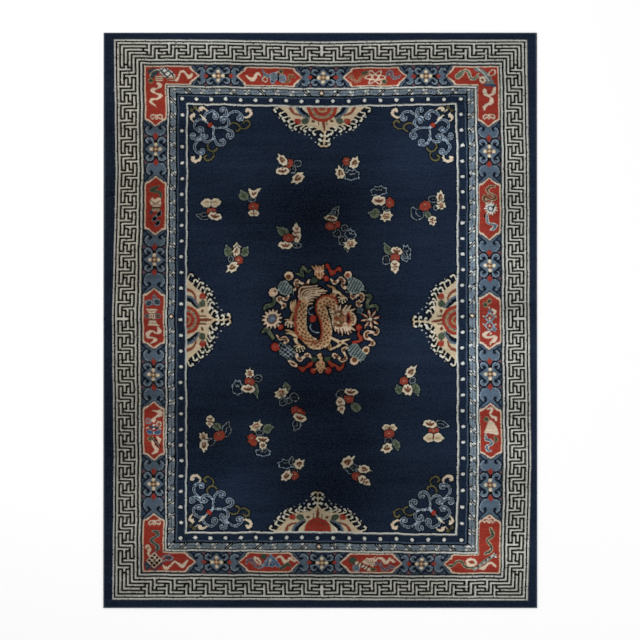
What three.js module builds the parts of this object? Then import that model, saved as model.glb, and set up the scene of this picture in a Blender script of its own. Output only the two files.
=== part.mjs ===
// A hand-knotted wool carpet lying flat, pile up. Millimetres, +Z up.
// The origin is on the floor under the middle of the carpet, +Y runs along its length to the head.

import * as THREE from 'three';

// Driving dimensions
const headWidth = 2755;      // across the top edge in the plan view
const footWidth = 2759;      // across the bottom edge, a few millimetres wider off the loom
const length = 3658;         // twelve feet from head to foot
const pileTop = 11;          // cotton foundation and clipped wool pile together
const pileUnevenness = 0.7;  // how far the clipped surface strays up or down

// The edge seen in section, from the floor up: how far each level steps in from the outline.
const edgeSection = [
	{ height: 0, stepIn: 2.5 },    // underside, where the overcast side rolls under
	{ height: 2.5, stepIn: 0 },    // widest at the side cord
	{ height: 6, stepIn: 0.6 },    // pile leaning out over the side cord
	{ height: 9, stepIn: 2.6 },    // shoulder of the pile
	{ height: pileTop, stepIn: 7 }, // clipped top of the pile
];

// Long low swells in the clipped pile: how many run across and along the carpet, and where they start.
const swells = [
	{ across: 1.5, along: 2, start: 0.4, share: 0.4 },
	{ across: 3, along: 1, start: 1.9, share: 0.3 },
	{ across: 2, along: 4.5, start: 3.1, share: 0.3 },
];

const cellsAcross = 18;
const cellsAlong = 24;

// Height of the clipped pile over its mean, at a place given from -1 to 1 each way.
function swellHeight( across, along ) {

	let sum = 0;
	for ( const swell of swells ) {

		const phase = Math.PI * ( swell.across * across + swell.along * along ) + swell.start;
		sum += swell.share * Math.sin( phase );

	}

	return pileUnevenness * sum;

}

// A block with one level of points for each row of the edge section, drawn out to the carpet's shape.
function carpetGeometry() {

	const levels = edgeSection.length - 1;
	const geometry = new THREE.BoxGeometry( 2, 2, levels, cellsAcross, cellsAlong, levels );
	const places = geometry.attributes.position;

	for ( let i = 0; i < places.count; i ++ ) {

		const across = places.getX( i );
		const along = places.getY( i );
		const level = Math.round( places.getZ( i ) + levels / 2 );
		const section = edgeSection[ level ];
		const width = THREE.MathUtils.mapLinear( along, - 1, 1, footWidth, headWidth );
		const swell = level === levels ? swellHeight( across, along ) : 0;
		const halfWidth = width / 2 - section.stepIn;
		const halfLength = length / 2 - section.stepIn;
		places.setXYZ( i, across * halfWidth, along * halfLength, section.height + swell );

	}

	geometry.computeVertexNormals();
	return geometry;

}

function woolMaterial() {

	return new THREE.MeshStandardMaterial( { color: 0x1a2333, roughness: 0.95, metalness: 0 } );

}

const carpet = new THREE.Group();
const rug = new THREE.Mesh( carpetGeometry(), woolMaterial() );
rug.name = 'rug';
carpet.add( rug );

export default carpet;
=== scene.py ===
import math
import bpy
import numpy as np
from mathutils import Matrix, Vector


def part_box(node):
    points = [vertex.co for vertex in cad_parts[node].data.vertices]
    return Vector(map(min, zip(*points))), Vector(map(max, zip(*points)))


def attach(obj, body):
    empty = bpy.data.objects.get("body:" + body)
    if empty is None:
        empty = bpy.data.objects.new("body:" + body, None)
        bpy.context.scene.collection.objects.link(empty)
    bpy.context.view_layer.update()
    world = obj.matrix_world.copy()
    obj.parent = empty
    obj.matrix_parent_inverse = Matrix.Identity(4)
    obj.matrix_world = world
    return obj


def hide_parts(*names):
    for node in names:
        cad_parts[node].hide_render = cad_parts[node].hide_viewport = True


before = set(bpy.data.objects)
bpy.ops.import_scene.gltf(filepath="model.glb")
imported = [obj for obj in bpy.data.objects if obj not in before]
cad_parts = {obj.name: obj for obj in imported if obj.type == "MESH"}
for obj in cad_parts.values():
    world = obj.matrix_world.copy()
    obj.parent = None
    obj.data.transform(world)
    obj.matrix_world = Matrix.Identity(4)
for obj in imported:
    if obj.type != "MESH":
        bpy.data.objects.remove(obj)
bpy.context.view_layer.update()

# A hand-knotted wool carpet, charted knot by knot and laid flat, pile up. Metres, +Y to the head.
rugLow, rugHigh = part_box("rug")
rug = {
    "width": rugHigh[0] - rugLow[0],
    "length": rugHigh[1] - rugLow[1],
    "headNarrower": 0.004,  # the head came off the loom a little narrower than the foot
    "pileTop": 0.011,
    "unevenness": 0.0007,
    # waves across and along, where they start, and their share
    "swells": ((1.5, 2.0, 0.4, 0.4), (3.0, 1.0, 1.9, 0.3), (2.0, 4.5, 3.1, 0.3)),
}
print("carpet", round(rug["width"], 3), "by", round(rug["length"], 3), "m")


# The plan is drawn in quarter inches from the middle of the carpet: x to the right, y to the head.
loom = {
    "knotsAcross": 572,
    "knotsAlong": 872,
    "borderKnots": 109,  # knots from the outer edge to the inside of the field frame
    "leftBorder": 83.95,  # quarter inches that those knots take up on each side
    "rightBorder": 81.0,
    "headBorder": 73.15,
    "footBorder": 76.3,
    "width": 434.1,
    "length": 576.0,
}

# Dyed yarns as they look on the loom (red, green and blue, 0 to 255)
yarns = {
    "navy": (25, 34, 49),
    "night": (15, 21, 31),
    "ink": (6, 7, 9),
    "bone": (194, 194, 185),
    "stone": (116, 115, 105),
    "pearl": (190, 192, 187),
    "ivory": (202, 194, 172),
    "cream": (194, 172, 150),
    "wheat": (178, 160, 132),
    "peach": (172, 136, 102),
    "red": (133, 47, 37),
    "rose": (128, 78, 67),
    "rust": (117, 60, 44),
    "brown": (90, 56, 36),
    "tan": (142, 114, 84),
    "olive": (88, 96, 76),
    "moss": (86, 83, 60),
    "leaf": (53, 65, 53),
    "teal": (48, 60, 66),
    "steel": (84, 94, 100),
    "slate": (76, 90, 103),
    "lichen": (124, 137, 133),
    "sky": (129, 146, 161),
    "mist": (124, 136, 144),
    "frost": (150, 164, 176),
    "denim": (51, 65, 82),
    "azure": (55, 76, 100),
    "dusk": (51, 57, 70),
    "mauve": (98, 68, 72),
}
yarnNames = list(yarns)
bare = 255


def knotEdges(count, border, low, high, total):
    # where the rows or columns of knots meet, looser in one border than in the other
    steps = np.full(count, (total - low - high) / (count - 2 * border))
    steps[:border] = low / border
    steps[count - border:] = high / border
    return np.concatenate(([0.0], np.cumsum(steps))) - total / 2


edgesX = knotEdges(loom["knotsAcross"], loom["borderKnots"], loom["leftBorder"], loom["rightBorder"],
    loom["width"])
edgesY = knotEdges(loom["knotsAlong"], loom["borderKnots"], loom["footBorder"], loom["headBorder"],
    loom["length"])
knotX = (edgesX[:-1] + edgesX[1:]) / 2
knotY = (edgesY[:-1] + edgesY[1:]) / 2
columns = np.arange(loom["knotsAcross"])
rows = np.arange(loom["knotsAlong"])


def fromBothEnds(count):
    order = np.arange(count)
    return np.minimum(order, order[::-1])


fromSide = fromBothEnds(loom["knotsAcross"])[None, :]
fromEnd = fromBothEnds(loom["knotsAlong"])[:, None]
ring = np.minimum(fromSide, fromEnd)  # knots between a knot and the nearest edge
chart = np.zeros(ring.shape, np.uint8)


def dip(name):
    return yarnNames.index(name)


def fourSides(values, mode="constant"):
    # what lies below, above, before and after every knot
    around = np.pad(values, 1, mode=mode)
    return around[2:, 1:-1], around[:-2, 1:-1], around[1:-1, 2:], around[1:-1, :-2]


def smoothThrough(points, closed=False, perSpan=7, straightParts=10):
    # a soft curve through given points
    p = np.array(points, float)
    if len(p) < 3:
        return np.array([p[0] + (p[-1] - p[0]) * k / straightParts for k in range(straightParts + 1)])
    if closed:
        padded = np.concatenate((p[-1:], p, p[:2]))
    else:
        padded = np.concatenate((2 * p[:1] - p[1:2], p, 2 * p[-1:] - p[-2:-1]))
    curve = []
    for a, b, c, d in zip(padded[:-3], padded[1:-2], padded[2:-1], padded[3:]):
        for k in range(perSpan):
            t = k / perSpan
            curve.append(0.5 * (2 * b + (c - a) * t + (2 * a - 5 * b + 4 * c - d) * t * t
                + (3 * b - a - 3 * c + d) * t ** 3))
    if not closed:
        curve.append(p[-1])
    return np.array(curve)


class Brush:
    # Paints yarns in a motif's own axes. The motif is laid on the chart when it is done.

    def __init__(self, x=0, y=0, turn=0):
        self.layer = np.full(chart.shape, bare, np.uint8)
        self.stampStep = 0.35  # from one stamp of a line to the next
        self.rimWidth = 1.1
        self.hold(x, y, turn)

    def hold(self, x, y, turn=0, flip=1, stretch=(1, 1)):
        # sets where the motif's axes are, and may be used again for each part of it
        angle = math.radians(turn)
        self.spot = np.array((x, y), float)
        self.reach = np.array((flip, 1.0)) * np.array(stretch)
        self.axes = np.array(((math.cos(angle), math.sin(angle)), (-math.sin(angle), math.cos(angle))))

    def onPlan(self, points):
        p = np.array(points, float).reshape(-1, 2) * self.reach
        return p @ self.axes + self.spot

    def window(self, low, high):
        c0, c1 = np.searchsorted(knotX, (low[0], high[0]))
        r0, r1 = np.searchsorted(knotY, (low[1], high[1]))
        return slice(r0, r1), slice(c0, c1)

    def stamp(self, centre, radius, yarn):
        box = self.window(centre - radius, centre + radius)
        away = (knotY[box[0], None] - centre[1]) ** 2 + (knotX[None, box[1]] - centre[0]) ** 2
        self.layer[box][away <= radius ** 2] = yarn

    def dot(self, x, y, radius, yarn):
        self.stamp(self.onPlan((x, y))[0], radius, dip(yarn))

    def dots(self, places, radius, yarn):
        for x, y in places:
            self.dot(x, y, radius, yarn)

    def ring(self, x, y, radius, yarn, core):
        self.dot(x, y, radius, yarn)
        self.dot(x, y, radius - self.rimWidth, core)

    def stroke(self, curve, width, yarn):
        # width is one number, or a few along a line that swells and tapers
        given = np.atleast_1d(width)
        widths = np.interp(np.linspace(0, 1, len(curve)), np.linspace(0, 1, len(given)), given)
        for k in range(len(curve) - 1):
            count = max(1, int(math.dist(curve[k], curve[k + 1]) / self.stampStep))
            for t in np.arange(count + 1) / count:
                place = curve[k] * (1 - t) + curve[k + 1] * t
                self.stamp(place, (widths[k] * (1 - t) + widths[k + 1] * t) / 2, dip(yarn))

    def line(self, points, width, yarn):
        self.stroke(self.onPlan(smoothThrough(points)), width, yarn)

    def bar(self, points, width, yarn):
        # a line of straight pieces
        self.stroke(self.onPlan(points), width, yarn)

    def fill(self, curve, yarn):
        box = self.window(curve.min(0), curve.max(0))
        x = knotX[None, box[1]]
        y = knotY[box[0], None]
        inside = np.zeros((y.size, x.size), bool)
        for (x0, y0), (x1, y1) in zip(curve, np.roll(curve, -1, axis=0)):
            if y0 != y1:
                crosses = (y0 > y) != (y1 > y)
                inside ^= crosses & (x < (x1 - x0) * (y - y0) / (y1 - y0) + x0)
        self.layer[box][inside] = dip(yarn)

    def area(self, points, yarn):
        self.fill(self.onPlan(smoothThrough(points, closed=True)), yarn)

    def tile(self, points, yarn):
        # an area with straight sides
        self.fill(self.onPlan(points), yarn)

    def edge(self, yarn, knots=1):
        # rings all that is painted so far with another yarn
        for k in range(knots):
            grown = np.any(fourSides(self.layer != bare), axis=0)
            self.layer[grown & (self.layer == bare)] = dip(yarn)

    def fade(self, yarn, inside, knots=2):
        # leaves a rim of one yarn and fills what lies inside it with another
        deep = self.layer == dip(yarn)
        for k in range(knots):
            deep = deep & np.all(fourSides(deep), axis=0)
        self.layer[deep] = dip(inside)

    def hatch(self, ground, yarn, spacing, width, turn=0):
        # stripes of a second yarn across all that is painted in the first
        angle = math.radians(turn)
        across = (np.array((math.cos(angle), math.sin(angle))) * np.sign(self.reach)) @ self.axes
        place = (knotX[None, :] - self.spot[0]) * across[0] + (knotY[:, None] - self.spot[1]) * across[1]
        near = np.abs((place / spacing + 0.5) % 1 - 0.5) * spacing
        self.layer[(self.layer == dip(ground)) & (near < width / 2)] = dip(yarn)

    def lay(self, where=None):
        done = self.layer != bare
        if where is not None:
            done &= where
        chart[done] = self.layer[done]
        self.layer[:] = bare


def band(start, end):
    return (ring >= start) & (ring < end)


# Bands of the border, in knots from the edge
outerLine = [(12, 13, "stone"), (13, 15, "pearl")]
fretGround = [(15, 47, "ink"), (47, 49, "pearl"), (49, 50, "stone"), (50, 51, "ink")]
mainBand = (51, 81)
innerLines = [(81, 82, "night"), (82, 84, "pearl"), (84, 85, "stone"), (85, 86, "ink"), (93, 95, "ink")]
pearlGround = [(95, 96, "denim"), (96, 97, "slate")]
fieldFrame = [(106, 107, "stone"), (107, 109, "pearl"), (109, 110, "ink")]
mainGround = [(*mainBand, "denim")]
for start, end, yarn in outerLine + fretGround + mainGround + innerLines + pearlGround + fieldFrame:
    chart[band(start, end)] = dip(yarn)
inMainBand = band(*mainBand)
inField = ring >= loom["borderKnots"]

fret = {
    "first": 17,  # knots from the edge to the outermost pale line
    "last": 45,
    "tracks": ((3, "stone"), (2, "bone")),  # knots in a pale line and in its brightest part
    "step": 5,  # knots from one pale line to the next
    "unit": 5,  # steps in one key
    "depth": 5,  # steps from the outer line to the inner line
    "stretched": (12, 27),  # steps that got a knot more, so that the keys meet in the middle
    "cornerSteps": 10,
    "middleSteps": 3,
}
# One key, in steps along the border and down from its outer line
keyPaths = [
    [(3, 0), (3, 3)], [(3, 2), (1, 2)],  # stem and arm from the outer line
    [(0, 5), (0, 2)], [(0, 3), (2, 3)],  # stem and arm from the inner line
    [(1, 4), (4, 4), (4, 1), (7, 1)],  # the line that runs between two keys
]
middleKey = keyPaths[:4] + [[(1, 4), (3, 4)]]
cornerPaths = [
    [(8, 0), (8, 3)], [(8, 2), (7, 2)], [(1, 1), (7, 1)], [(2, 2), (6, 2)],
    [(3, 3), (7, 3)], [(4, 4), (9, 4)], [(9, 4), (9, 1), (12, 1)],
]


def stepKnot(n):
    return fret["first"] + fret["step"] * n + sum(n >= late for late in fret["stretched"])


def layPath(quarter, path, shift, swap, track, yarn):
    # knots from one step to the next; swap turns a long side into an end
    for (a, b), (c, d) in zip(path[:-1], path[1:]):
        low = [stepKnot(min(a, c) + shift), fret["first"] + fret["step"] * min(b, d)]
        high = [stepKnot(max(a, c) + shift), fret["first"] + fret["step"] * max(b, d)]
        if swap:
            low.reverse()
            high.reverse()
        quarter[low[0]:high[0] + track, low[1]:high[1] + track] = dip(yarn)


def weaveFret():
    # a quarter of the carpet is charted, then mirrored to the other three
    halfRows = loom["knotsAlong"] // 2
    halfColumns = loom["knotsAcross"] // 2
    quarter = chart[:halfRows, :halfColumns].copy()
    placed = []
    for swap, knots in ((False, halfRows), (True, halfColumns)):
        middle = (knots - fret["first"]) // fret["step"]
        beforeMiddle = middle - fret["middleSteps"]
        longLines = [[(line, line), (middle, line)] for line in (0, fret["depth"])]
        paths = [(path, 0) for path in longLines + cornerPaths]
        paths += [(path, beforeMiddle) for path in middleKey]
        keys = range(fret["cornerSteps"], beforeMiddle, fret["unit"])
        paths += [(path, shift) for shift in keys for path in keyPaths]
        placed += [(path, shift, swap) for path, shift in paths]
    for track, yarn in fret["tracks"]:
        for path, shift, swap in placed:
            layPath(quarter, path, shift, swap, track, yarn)
    inFret = band(fret["first"], fret["last"])[:halfRows, :halfColumns]
    for target in (chart, chart[::-1], chart[:, ::-1], chart[::-1, ::-1]):
        target[:halfRows, :halfColumns][inFret] = quarter[inFret]


weaveFret()


guard = {
    "ribbon": (86, 93),  # knots from the edge
    "strands": ("mist", "steel", "mist", "dusk", "mist", "steel", "mist"),
    "endTwist": 19.6,  # knots from one twist of the ribbon to the next
    "sideTwist": 21.9,
    "sideSlant": 0.85,
    "shift": {"head": 0, "foot": -4, "side": 4},
    "shine": (3.2, 0.5),  # half length of the bright wool at a twist, and the knots it leaves free
    "fold": ((2.2, "ink"), (0.8, "pearl")),
    "knob": ((4.6, "ink"), (3.0, "cream")),
    "pearlRing": {"end": 100, "side": 101},
    "pearlWide": 3.3,
    "spacesEnd": 18,
    "spacesSide": 28,
    "swell": {"head": 0.062, "foot": 0.065, "left": 0.01, "right": -0.022},
}


def weaveRibbon():
    # a flat ribbon that is given half a turn every few inches, mirrored about the middle of each side
    first, last = guard["ribbon"]
    for t, yarn in enumerate(guard["strands"]):
        chart[ring == first + t] = dip(yarn)
    onEnd = fromEnd < fromSide
    atHead = (rows > loom["knotsAlong"] / 2)[:, None]
    shift = guard["shift"]
    alongEnd = columns[None, :] - (loom["knotsAcross"] - 1) / 2 - np.where(atHead, shift["head"],
        shift["foot"])
    alongSide = rows[:, None] - (loom["knotsAlong"] - 1) / 2 - shift["side"]
    along = np.where(onEnd, alongEnd, alongSide)
    spacing = np.where(onEnd, guard["endTwist"], guard["sideTwist"])
    turnNumber = np.round(along / spacing)
    near = along - turnNumber * spacing
    across = ring - (first + last - 1) / 2
    slant = across + np.sign(turnNumber) * near * np.where(onEnd, 1.0, guard["sideSlant"])
    inRibbon = band(first, last)
    turned = inRibbon & (turnNumber != 0)
    shineHalf, shineFree = guard["shine"]
    chart[turned & (np.abs(near) < shineHalf) & (np.abs(across) > shineFree)] = dip("pearl")
    for half, yarn in guard["fold"]:
        chart[turned & (np.abs(slant) < half)] = dip(yarn)
    for half, yarn in guard["knob"]:
        chart[inRibbon & (turnNumber == 0) & (np.abs(near) + np.abs(across) < half)] = dip(yarn)


def unevenly(low, high, spaces, swell):
    # places from low to high that lie a little wider apart towards the end
    share = np.linspace(0, 1, spaces + 1)
    return low + (high - low) * (share + swell * share * (share - 1))


def sewPearls():
    # round white knobs in a row, each with a dark ring
    end = guard["pearlRing"]["end"]
    side = guard["pearlRing"]["side"]
    swell = guard["swell"]
    spots = []
    for name, y in (("head", knotY[-1 - end]), ("foot", knotY[end])):
        spots += [(x, y) for x in unevenly(knotX[side], knotX[-1 - side], guard["spacesEnd"], swell[name])]
    for name, x in (("left", knotX[side]), ("right", knotX[-1 - side])):
        places = unevenly(knotY[end], knotY[-1 - end], guard["spacesSide"], swell[name])
        spots += [(x, y) for y in places[1:-1]]
    for x, y in spots:
        pearl = Brush(x, y)
        pearl.bar([(-0.3, 0), (0.3, 0)], guard["pearlWide"], "pearl")
        pearl.edge("ink")
        pearl.lay()


def thinLines():
    # the pale lines of the left side were tied a knot thinner
    left = (fromSide < fromEnd) & (columns < loom["knotsAcross"] / 2)[None, :]
    for knot, yarn in ((84, "ink"), (106, "slate"), (12, "navy")):
        chart[left & (ring == knot)] = dip(yarn)


weaveRibbon()
sewPearls()
thinLines()


mainBorder = {
    "middleKnot": 66,  # knots from the edge to the middle of the band
    # places of the flowers and of the panel tips, in quarter inches from the middle of the carpet
    "flowers": {
        "head": (-102.2, 2.8, 106.8),
        "foot": (-103.2, 1.8, 101.8),
        "left": (171.1, 60.7, -54.5, -163.9),
        "right": (169.1, 55, -53.8, -164.6),
    },
    "panels": {
        "head": ((-84.3, -17.3), (22.2, 87.4)),
        "foot": ((-82.3, -19.7), (19.3, 82.5)),
        "left": ((84.9, 144.9), (-29.2, 32.6), (-140.7, -81)),
        "right": ((80, 143.3), (-29.7, 29), (-139.4, -82.6)),
    },
    "cornerTips": {
        (-1, 1): (-121.3, 193),
        (1, 1): (126.7, 192.4),
        (-1, -1): (-123.5, -193),
        (1, -1): (123.9, -192.7),
    },
    "endHalf": 10,  # half width of the panels at the head and foot
    "sideHalf": 11.3,
    "sideTall": 1.22,  # the flowers are drawn broader on the long sides
    "lozengeEnd": (10.2, 15.6),
    "lozengeSide": (9.2, 16.6),
    "reachFrom": 19,  # a flower's outer curls grow longer when the next panel is further off
    "reachGrows": 0.085,
    "insets": ((-0.8, "dusk"), (0, "cream"), (1.5, "red")),
}
mid = mainBorder["middleKnot"]
leftX = knotX[mid]
rightX = knotX[-1 - mid]
footY = knotY[mid]
headY = knotY[-1 - mid]
quarters = ((1, 1), (-1, 1), (1, -1), (-1, -1))


def around(count, radius, x=0, y=0, start=0):
    # places evenly round a circle; start is in steps from one to the next
    angles = [2 * math.pi * (k + start) / count for k in range(count)]
    return [(x + radius * math.cos(a), y + radius * math.sin(a)) for a in angles]


def mirrored(points, sx, sy):
    return [(x * sx, y * sy) for x, y in points]


def drawnOut(points, grow):
    # the outer curls reach out to whatever panel comes next
    return [(x if x < 13 else 13 + (x - 13) * grow, y) for x, y in points]


def borderFlower(x, y, turn, before, after):
    # four-petalled flower between four curled leaves, with red lozenges and a pair of curls at either hand
    grow = {}
    for side, room in ((-1, before), (1, after)):
        grow[side] = 1 + max(room - mainBorder["reachFrom"], 0) * mainBorder["reachGrows"]
    b = Brush()
    b.hold(x, y, turn, stretch=(1, mainBorder["sideTall"] if turn else 1))
    b.tile([(0, 9.6), (3.2, 6), (6.2, 3.6), (6.2, -3.6), (3.2, -6), (0, -9.6), (-3.2, -6), (-6.2, -3.6),
        (-6.2, 3.6), (-3.2, 6)], "slate")
    leaf = [(5.2, 0.8), (8.4, 1.6), (11.2, 3.2), (12, 5.4), (10.8, 7.7), (8.3, 8.5), (6.1, 7.4),
        (4.6, 5.4)]
    curl = [(12.6, 0), (13.4, 4.4), (15, 7.4), (17.8, 8.7), (20.2, 7.4), (21.2, 5.1), (19.7, 3.3),
        (22.2, 5.8), (25.8, 11), (33, 11), (33, 0)]
    leafShine = [(5.8, 1.5), (9.2, 2.5), (11.3, 4.3), (11, 6.4), (8.9, 7.9), (6.7, 7.3), (6.2, 6)]
    curlShine = [(13.6, 4), (14.6, 6.6), (17.2, 8.1), (19.4, 7.3), (20.6, 5.2)]
    leafFold = [(7.4, 5.2), (6.6, 4), (4.8, 5.6), (3.4, 8.4)]
    curlFold = [(18.6, 4.5), (19.7, 3.5), (21.2, 5)]
    for sx, sy in quarters:
        b.area(mirrored(leaf, sx, sy), "slate")
        b.tile(mirrored(drawnOut(curl, grow[sx]), sx, sy), "slate")
    b.edge("night", 2)
    for sx, sy in quarters:
        b.line(mirrored(leafShine, sx, sy), 1.15, "mist")
        b.line(mirrored(drawnOut(curlShine, grow[sx]), sx, sy), 1.15, "mist")
        b.line(mirrored(leafFold, sx, sy), [2.6, 2.2, 1.2, 1], "night")
        b.line(mirrored(drawnOut(curlFold, grow[sx]), sx, sy), [2, 2.6, 1.2], "night")
    start, end = mainBorder["lozengeSide" if turn else "lozengeEnd"]
    middle = (start + end) / 2
    for side in (-1, 1):
        b.bar([(6 * side, 0), (start * side, 0)], [3.2, 2.4, 3], "ink")
        tips = (start * side - 0.8 * side, end * side + 0.4 * side)
        b.tile([(tips[0], 0), (middle * side, 2.8), (tips[1], 0), (middle * side, -2.8)], "mauve")
        b.tile([(start * side, 0), (middle * side, 2), ((end - 0.6) * side, 0), (middle * side, -2)], "red")
    for sx, sy in quarters:
        b.tile(mirrored([(10.3, 10.8), (15.1, 10.8), (12.7, 6.5)], sx, sy), "mauve")
    b.hold(x, y, turn)
    for dx, dy in ((1, 0), (-1, 0), (0, 1), (0, -1)):
        b.dot(4.5 * dx, 4.3 * dy, 2.15, "wheat")
        b.dot(4.8 * dx, 4.6 * dy, 1.35, "ivory")
    b.dot(0, 0, 2.9, "tan")
    b.dots([(1.6 * sx, 1.6 * sy) for sx, sy in quarters], 0.9, "brown")
    b.dot(0, 0, 1.1, "cream")
    b.lay(inMainBand)


def tipPoints(inset, half):
    # pointed end of a panel with a small step on either side, from the straight side to the tip
    tip = 1.2 * inset
    blunt = 1 if half < mainBorder["sideHalf"] else 0.76
    upper = [(10.4, 1), (8.8, 0.95), (7.7, 0.82), (7.5, 0.68), (6.3, 0.58)]
    points = [(x * blunt + tip, share * (half - inset)) for x, share in upper]
    return points + [(tip, 0)] + [(x, -y) for x, y in points[::-1]]


def panel(start, end, across, turn):
    # a long red panel with a pale edge; start and end are its two tips
    half = mainBorder["sideHalf"] if turn else mainBorder["endHalf"]
    b = Brush(across[0], across[1], turn)
    for inset, yarn in mainBorder["insets"]:
        points = [(start + x, y) for x, y in tipPoints(inset, half)][::-1]
        points += [(end - x, y) for x, y in tipPoints(inset, half)]
        b.tile(points, yarn)
        b.lay(inMainBand)


def cornerPanel(sx, sy, tipX, tipY):
    # two arms that meet in the corner
    cx = rightX if sx > 0 else leftX
    cy = headY if sy > 0 else footY
    armX = abs(cx - tipX)
    armY = abs(cy - tipY)
    halfX = mainBorder["sideHalf"]
    halfY = mainBorder["endHalf"]
    b = Brush(cx, cy)
    for inset, yarn in mainBorder["insets"]:
        points = [(halfX - inset, halfY - inset)] + [(x - armX, y) for x, y in tipPoints(inset, halfY)]
        points.append((inset - halfX, inset - halfY))
        points += [(y, x - armY) for x, y in tipPoints(inset, halfX)[::-1]]
        b.tile(mirrored(points, sx, sy), yarn)
        b.lay(inMainBand)


def flowerRow(side, corners, level, turn):
    # the flowers of one side; each knows how far off the next panel tips are
    tips = [tip for span in mainBorder["panels"][side] for tip in span] + list(corners)
    for middle in mainBorder["flowers"][side]:
        before = min(middle - tip for tip in tips if tip < middle)
        after = min(tip - middle for tip in tips if tip > middle)
        x, y = (level, middle) if turn else (middle, level)
        borderFlower(x, y, turn, before, after)


tips = mainBorder["cornerTips"]
borderSides = {
    "head": ((tips[-1, 1][0], tips[1, 1][0]), headY, 0),
    "foot": ((tips[-1, -1][0], tips[1, -1][0]), footY, 0),
    "left": ((tips[-1, 1][1], tips[-1, -1][1]), leftX, 90),
    "right": ((tips[1, 1][1], tips[1, -1][1]), rightX, 90),
}
for side, (corners, level, turn) in borderSides.items():
    flowerRow(side, corners, level, turn)
for side, (corners, level, turn) in borderSides.items():
    for start, end in mainBorder["panels"][side]:
        panel(start, end, (level, 0) if turn else (0, level), turn)
for (sx, sy), (tipX, tipY) in tips.items():
    cornerPanel(sx, sy, tipX, tipY)


def ribbon(b, points, widths, yarn="cream", edge=None):
    # a floating ribbon; the coloured ones have a pale edge
    widths = [0.9 * w for w in widths]
    if edge:
        b.line(points, [w + 0.4 for w in widths], edge)
        widths = [max(w - 1.3, 0.9) for w in widths]
    b.line(points, widths, yarn)


def doubleCurl(b, x, y):
    # small pair of curls round a bud
    for side in (-1, 1):
        b.line([(x + 1.2 * side, y + 1.6), (x + 3.8 * side, y + 2.4), (x + 5.9 * side, y + 0.4),
            (x + 4.4 * side, y - 2), (x + 2.6 * side, y - 0.4)], 1.5, "cream")
    b.dot(x, y - 0.8, 1.9, "cream")
    b.dot(x, y - 0.6, 0.8, "peach")
    b.dot(x, y + 1.9, 1, "cream")


def fanCorner(b):
    # latticed fan case over striped boxes, a horn and a gourd
    b.area([(-6.6, 7.3), (-2.3, 8.8), (3.4, 8.2), (3.2, 4.8), (0.4, 1.2), (-3.2, -0.8), (-4.8, 1.5)],
        "teal")
    b.line([(3.2, 7.8), (-0.5, 7), (-3.6, 4.3), (-4.8, 1.2)], 1.2, "wheat")
    b.ring(-3.8, -3.4, 3, "tan", "leaf")
    for left, right, top, low in ((0.6, 8.6, 1.4, -3.4), (12.6, 21.2, 0.8, -3.8)):
        b.tile([(left, top), (right, top), (right, low), (left, low)], "cream")
        for share in (0.3, 0.68):
            b.bar([(left, top + (low - top) * share), (right, top + (low - top) * share)], 0.8, "rust")
        b.bar([(left + 0.4, low), (left + 0.4, top)], 0.8, "tan")
        b.bar([(right - 0.4, low), (right - 0.4, top)], 0.8, "tan")
    b.tile([(2.9, 8.3), (7.4, 9.6), (12.6, 9.2), (16.4, 6.6), (20, 3.2), (21.4, 0.9), (15.6, 0.6),
        (12, -1.6), (9.6, 0.8), (5.4, 4)], "bone")
    for start, end in (((5.2, 8.1), (12.8, -0.6)), ((10.6, 9.2), (19.6, 1))):
        b.bar([start, end], 1.1, "ink")
    for start, end in (((3.8, 4.9), (9.4, 9)), ((7.4, 1.8), (15, 7.6)), ((11.6, -0.8), (18.4, 4.6))):
        b.bar([start, end], 0.85, "dusk")
    ribbon(b, [(22.3, -3.1), (24.1, 0.1), (25.9, 5.1), (29.5, 6), (32.3, 2.8), (35, 0.5), (37.7, 3.2)],
        [3.6, 2.2, 2.4, 3, 2.2, 4.8, 3])
    ribbon(b, [(3.2, -5.9), (6, -8.4), (2.7, -10.9), (-2.3, -13.1), (1.4, -15.9), (5.9, -18.1),
        (2.3, -21.3), (-3.2, -21.8), (-4.1, -24.4), (0.9, -28.6)], [3, 4.4, 1.8, 4.6, 1.8, 4.6, 2, 3.4, 3.6,
        1.4])
    doubleCurl(b, 1.8, -39)


def featherCorner(b):
    # bent feather fan with a loop, a bud and ribbons
    ribbon(b, [(-28.5, 0), (-26, 2.6), (-22.2, 6.2), (-18.6, 4.8), (-16.8, -0.9), (-12.2, -1.3),
        (-9.5, 2.5)], [5.4, 5.8, 2.8, 3.6, 3.4, 3.8, 2.8], "olive", "cream")
    b.area([(-13.4, 8.6), (-8.6, 9.2), (-2.6, 6.4), (2.4, 0.6), (6.6, -7.4), (-1.4, -7.4), (-4.4, 0.4),
        (-8, 4.4), (-12.4, 6)], "stone")
    b.hatch("stone", "steel", 2.1, 1, 44)
    b.line([(-9.6, 8.2), (-3.8, 3.4), (1, -4)], 1.2, "bone")
    b.line([(2.4, 4.4), (-1.6, 0.6), (-4.4, -1.4)], 1.1, "bone")
    b.bar([(-3.3, -8.5), (7.2, -8.8)], 2.2, "denim")
    b.line([(1, 1.6), (2.2, 4.6), (5.4, 7), (7.8, 6.2), (7.2, 3), (4.2, 1), (1, 1.6)], 1.3, "cream")
    b.dots(around(5, 2, -5.4, -3), 1.9, "cream")
    b.dot(-5.4, -3, 1.3, "brown")
    ribbon(b, [(6.6, -11), (5.6, -15.6), (2, -18.5)], [2.5, 4.8, 2])
    ribbon(b, [(-3.4, -13.6), (-2.8, -17), (1.4, -19.6), (3.6, -24.5), (0, -27.2), (-3.6, -29.5),
        (-4, -33)], [4.4, 4.2, 2.6, 5, 3, 3.8, 1.4])
    doubleCurl(b, 0.7, -39.5)


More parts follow.
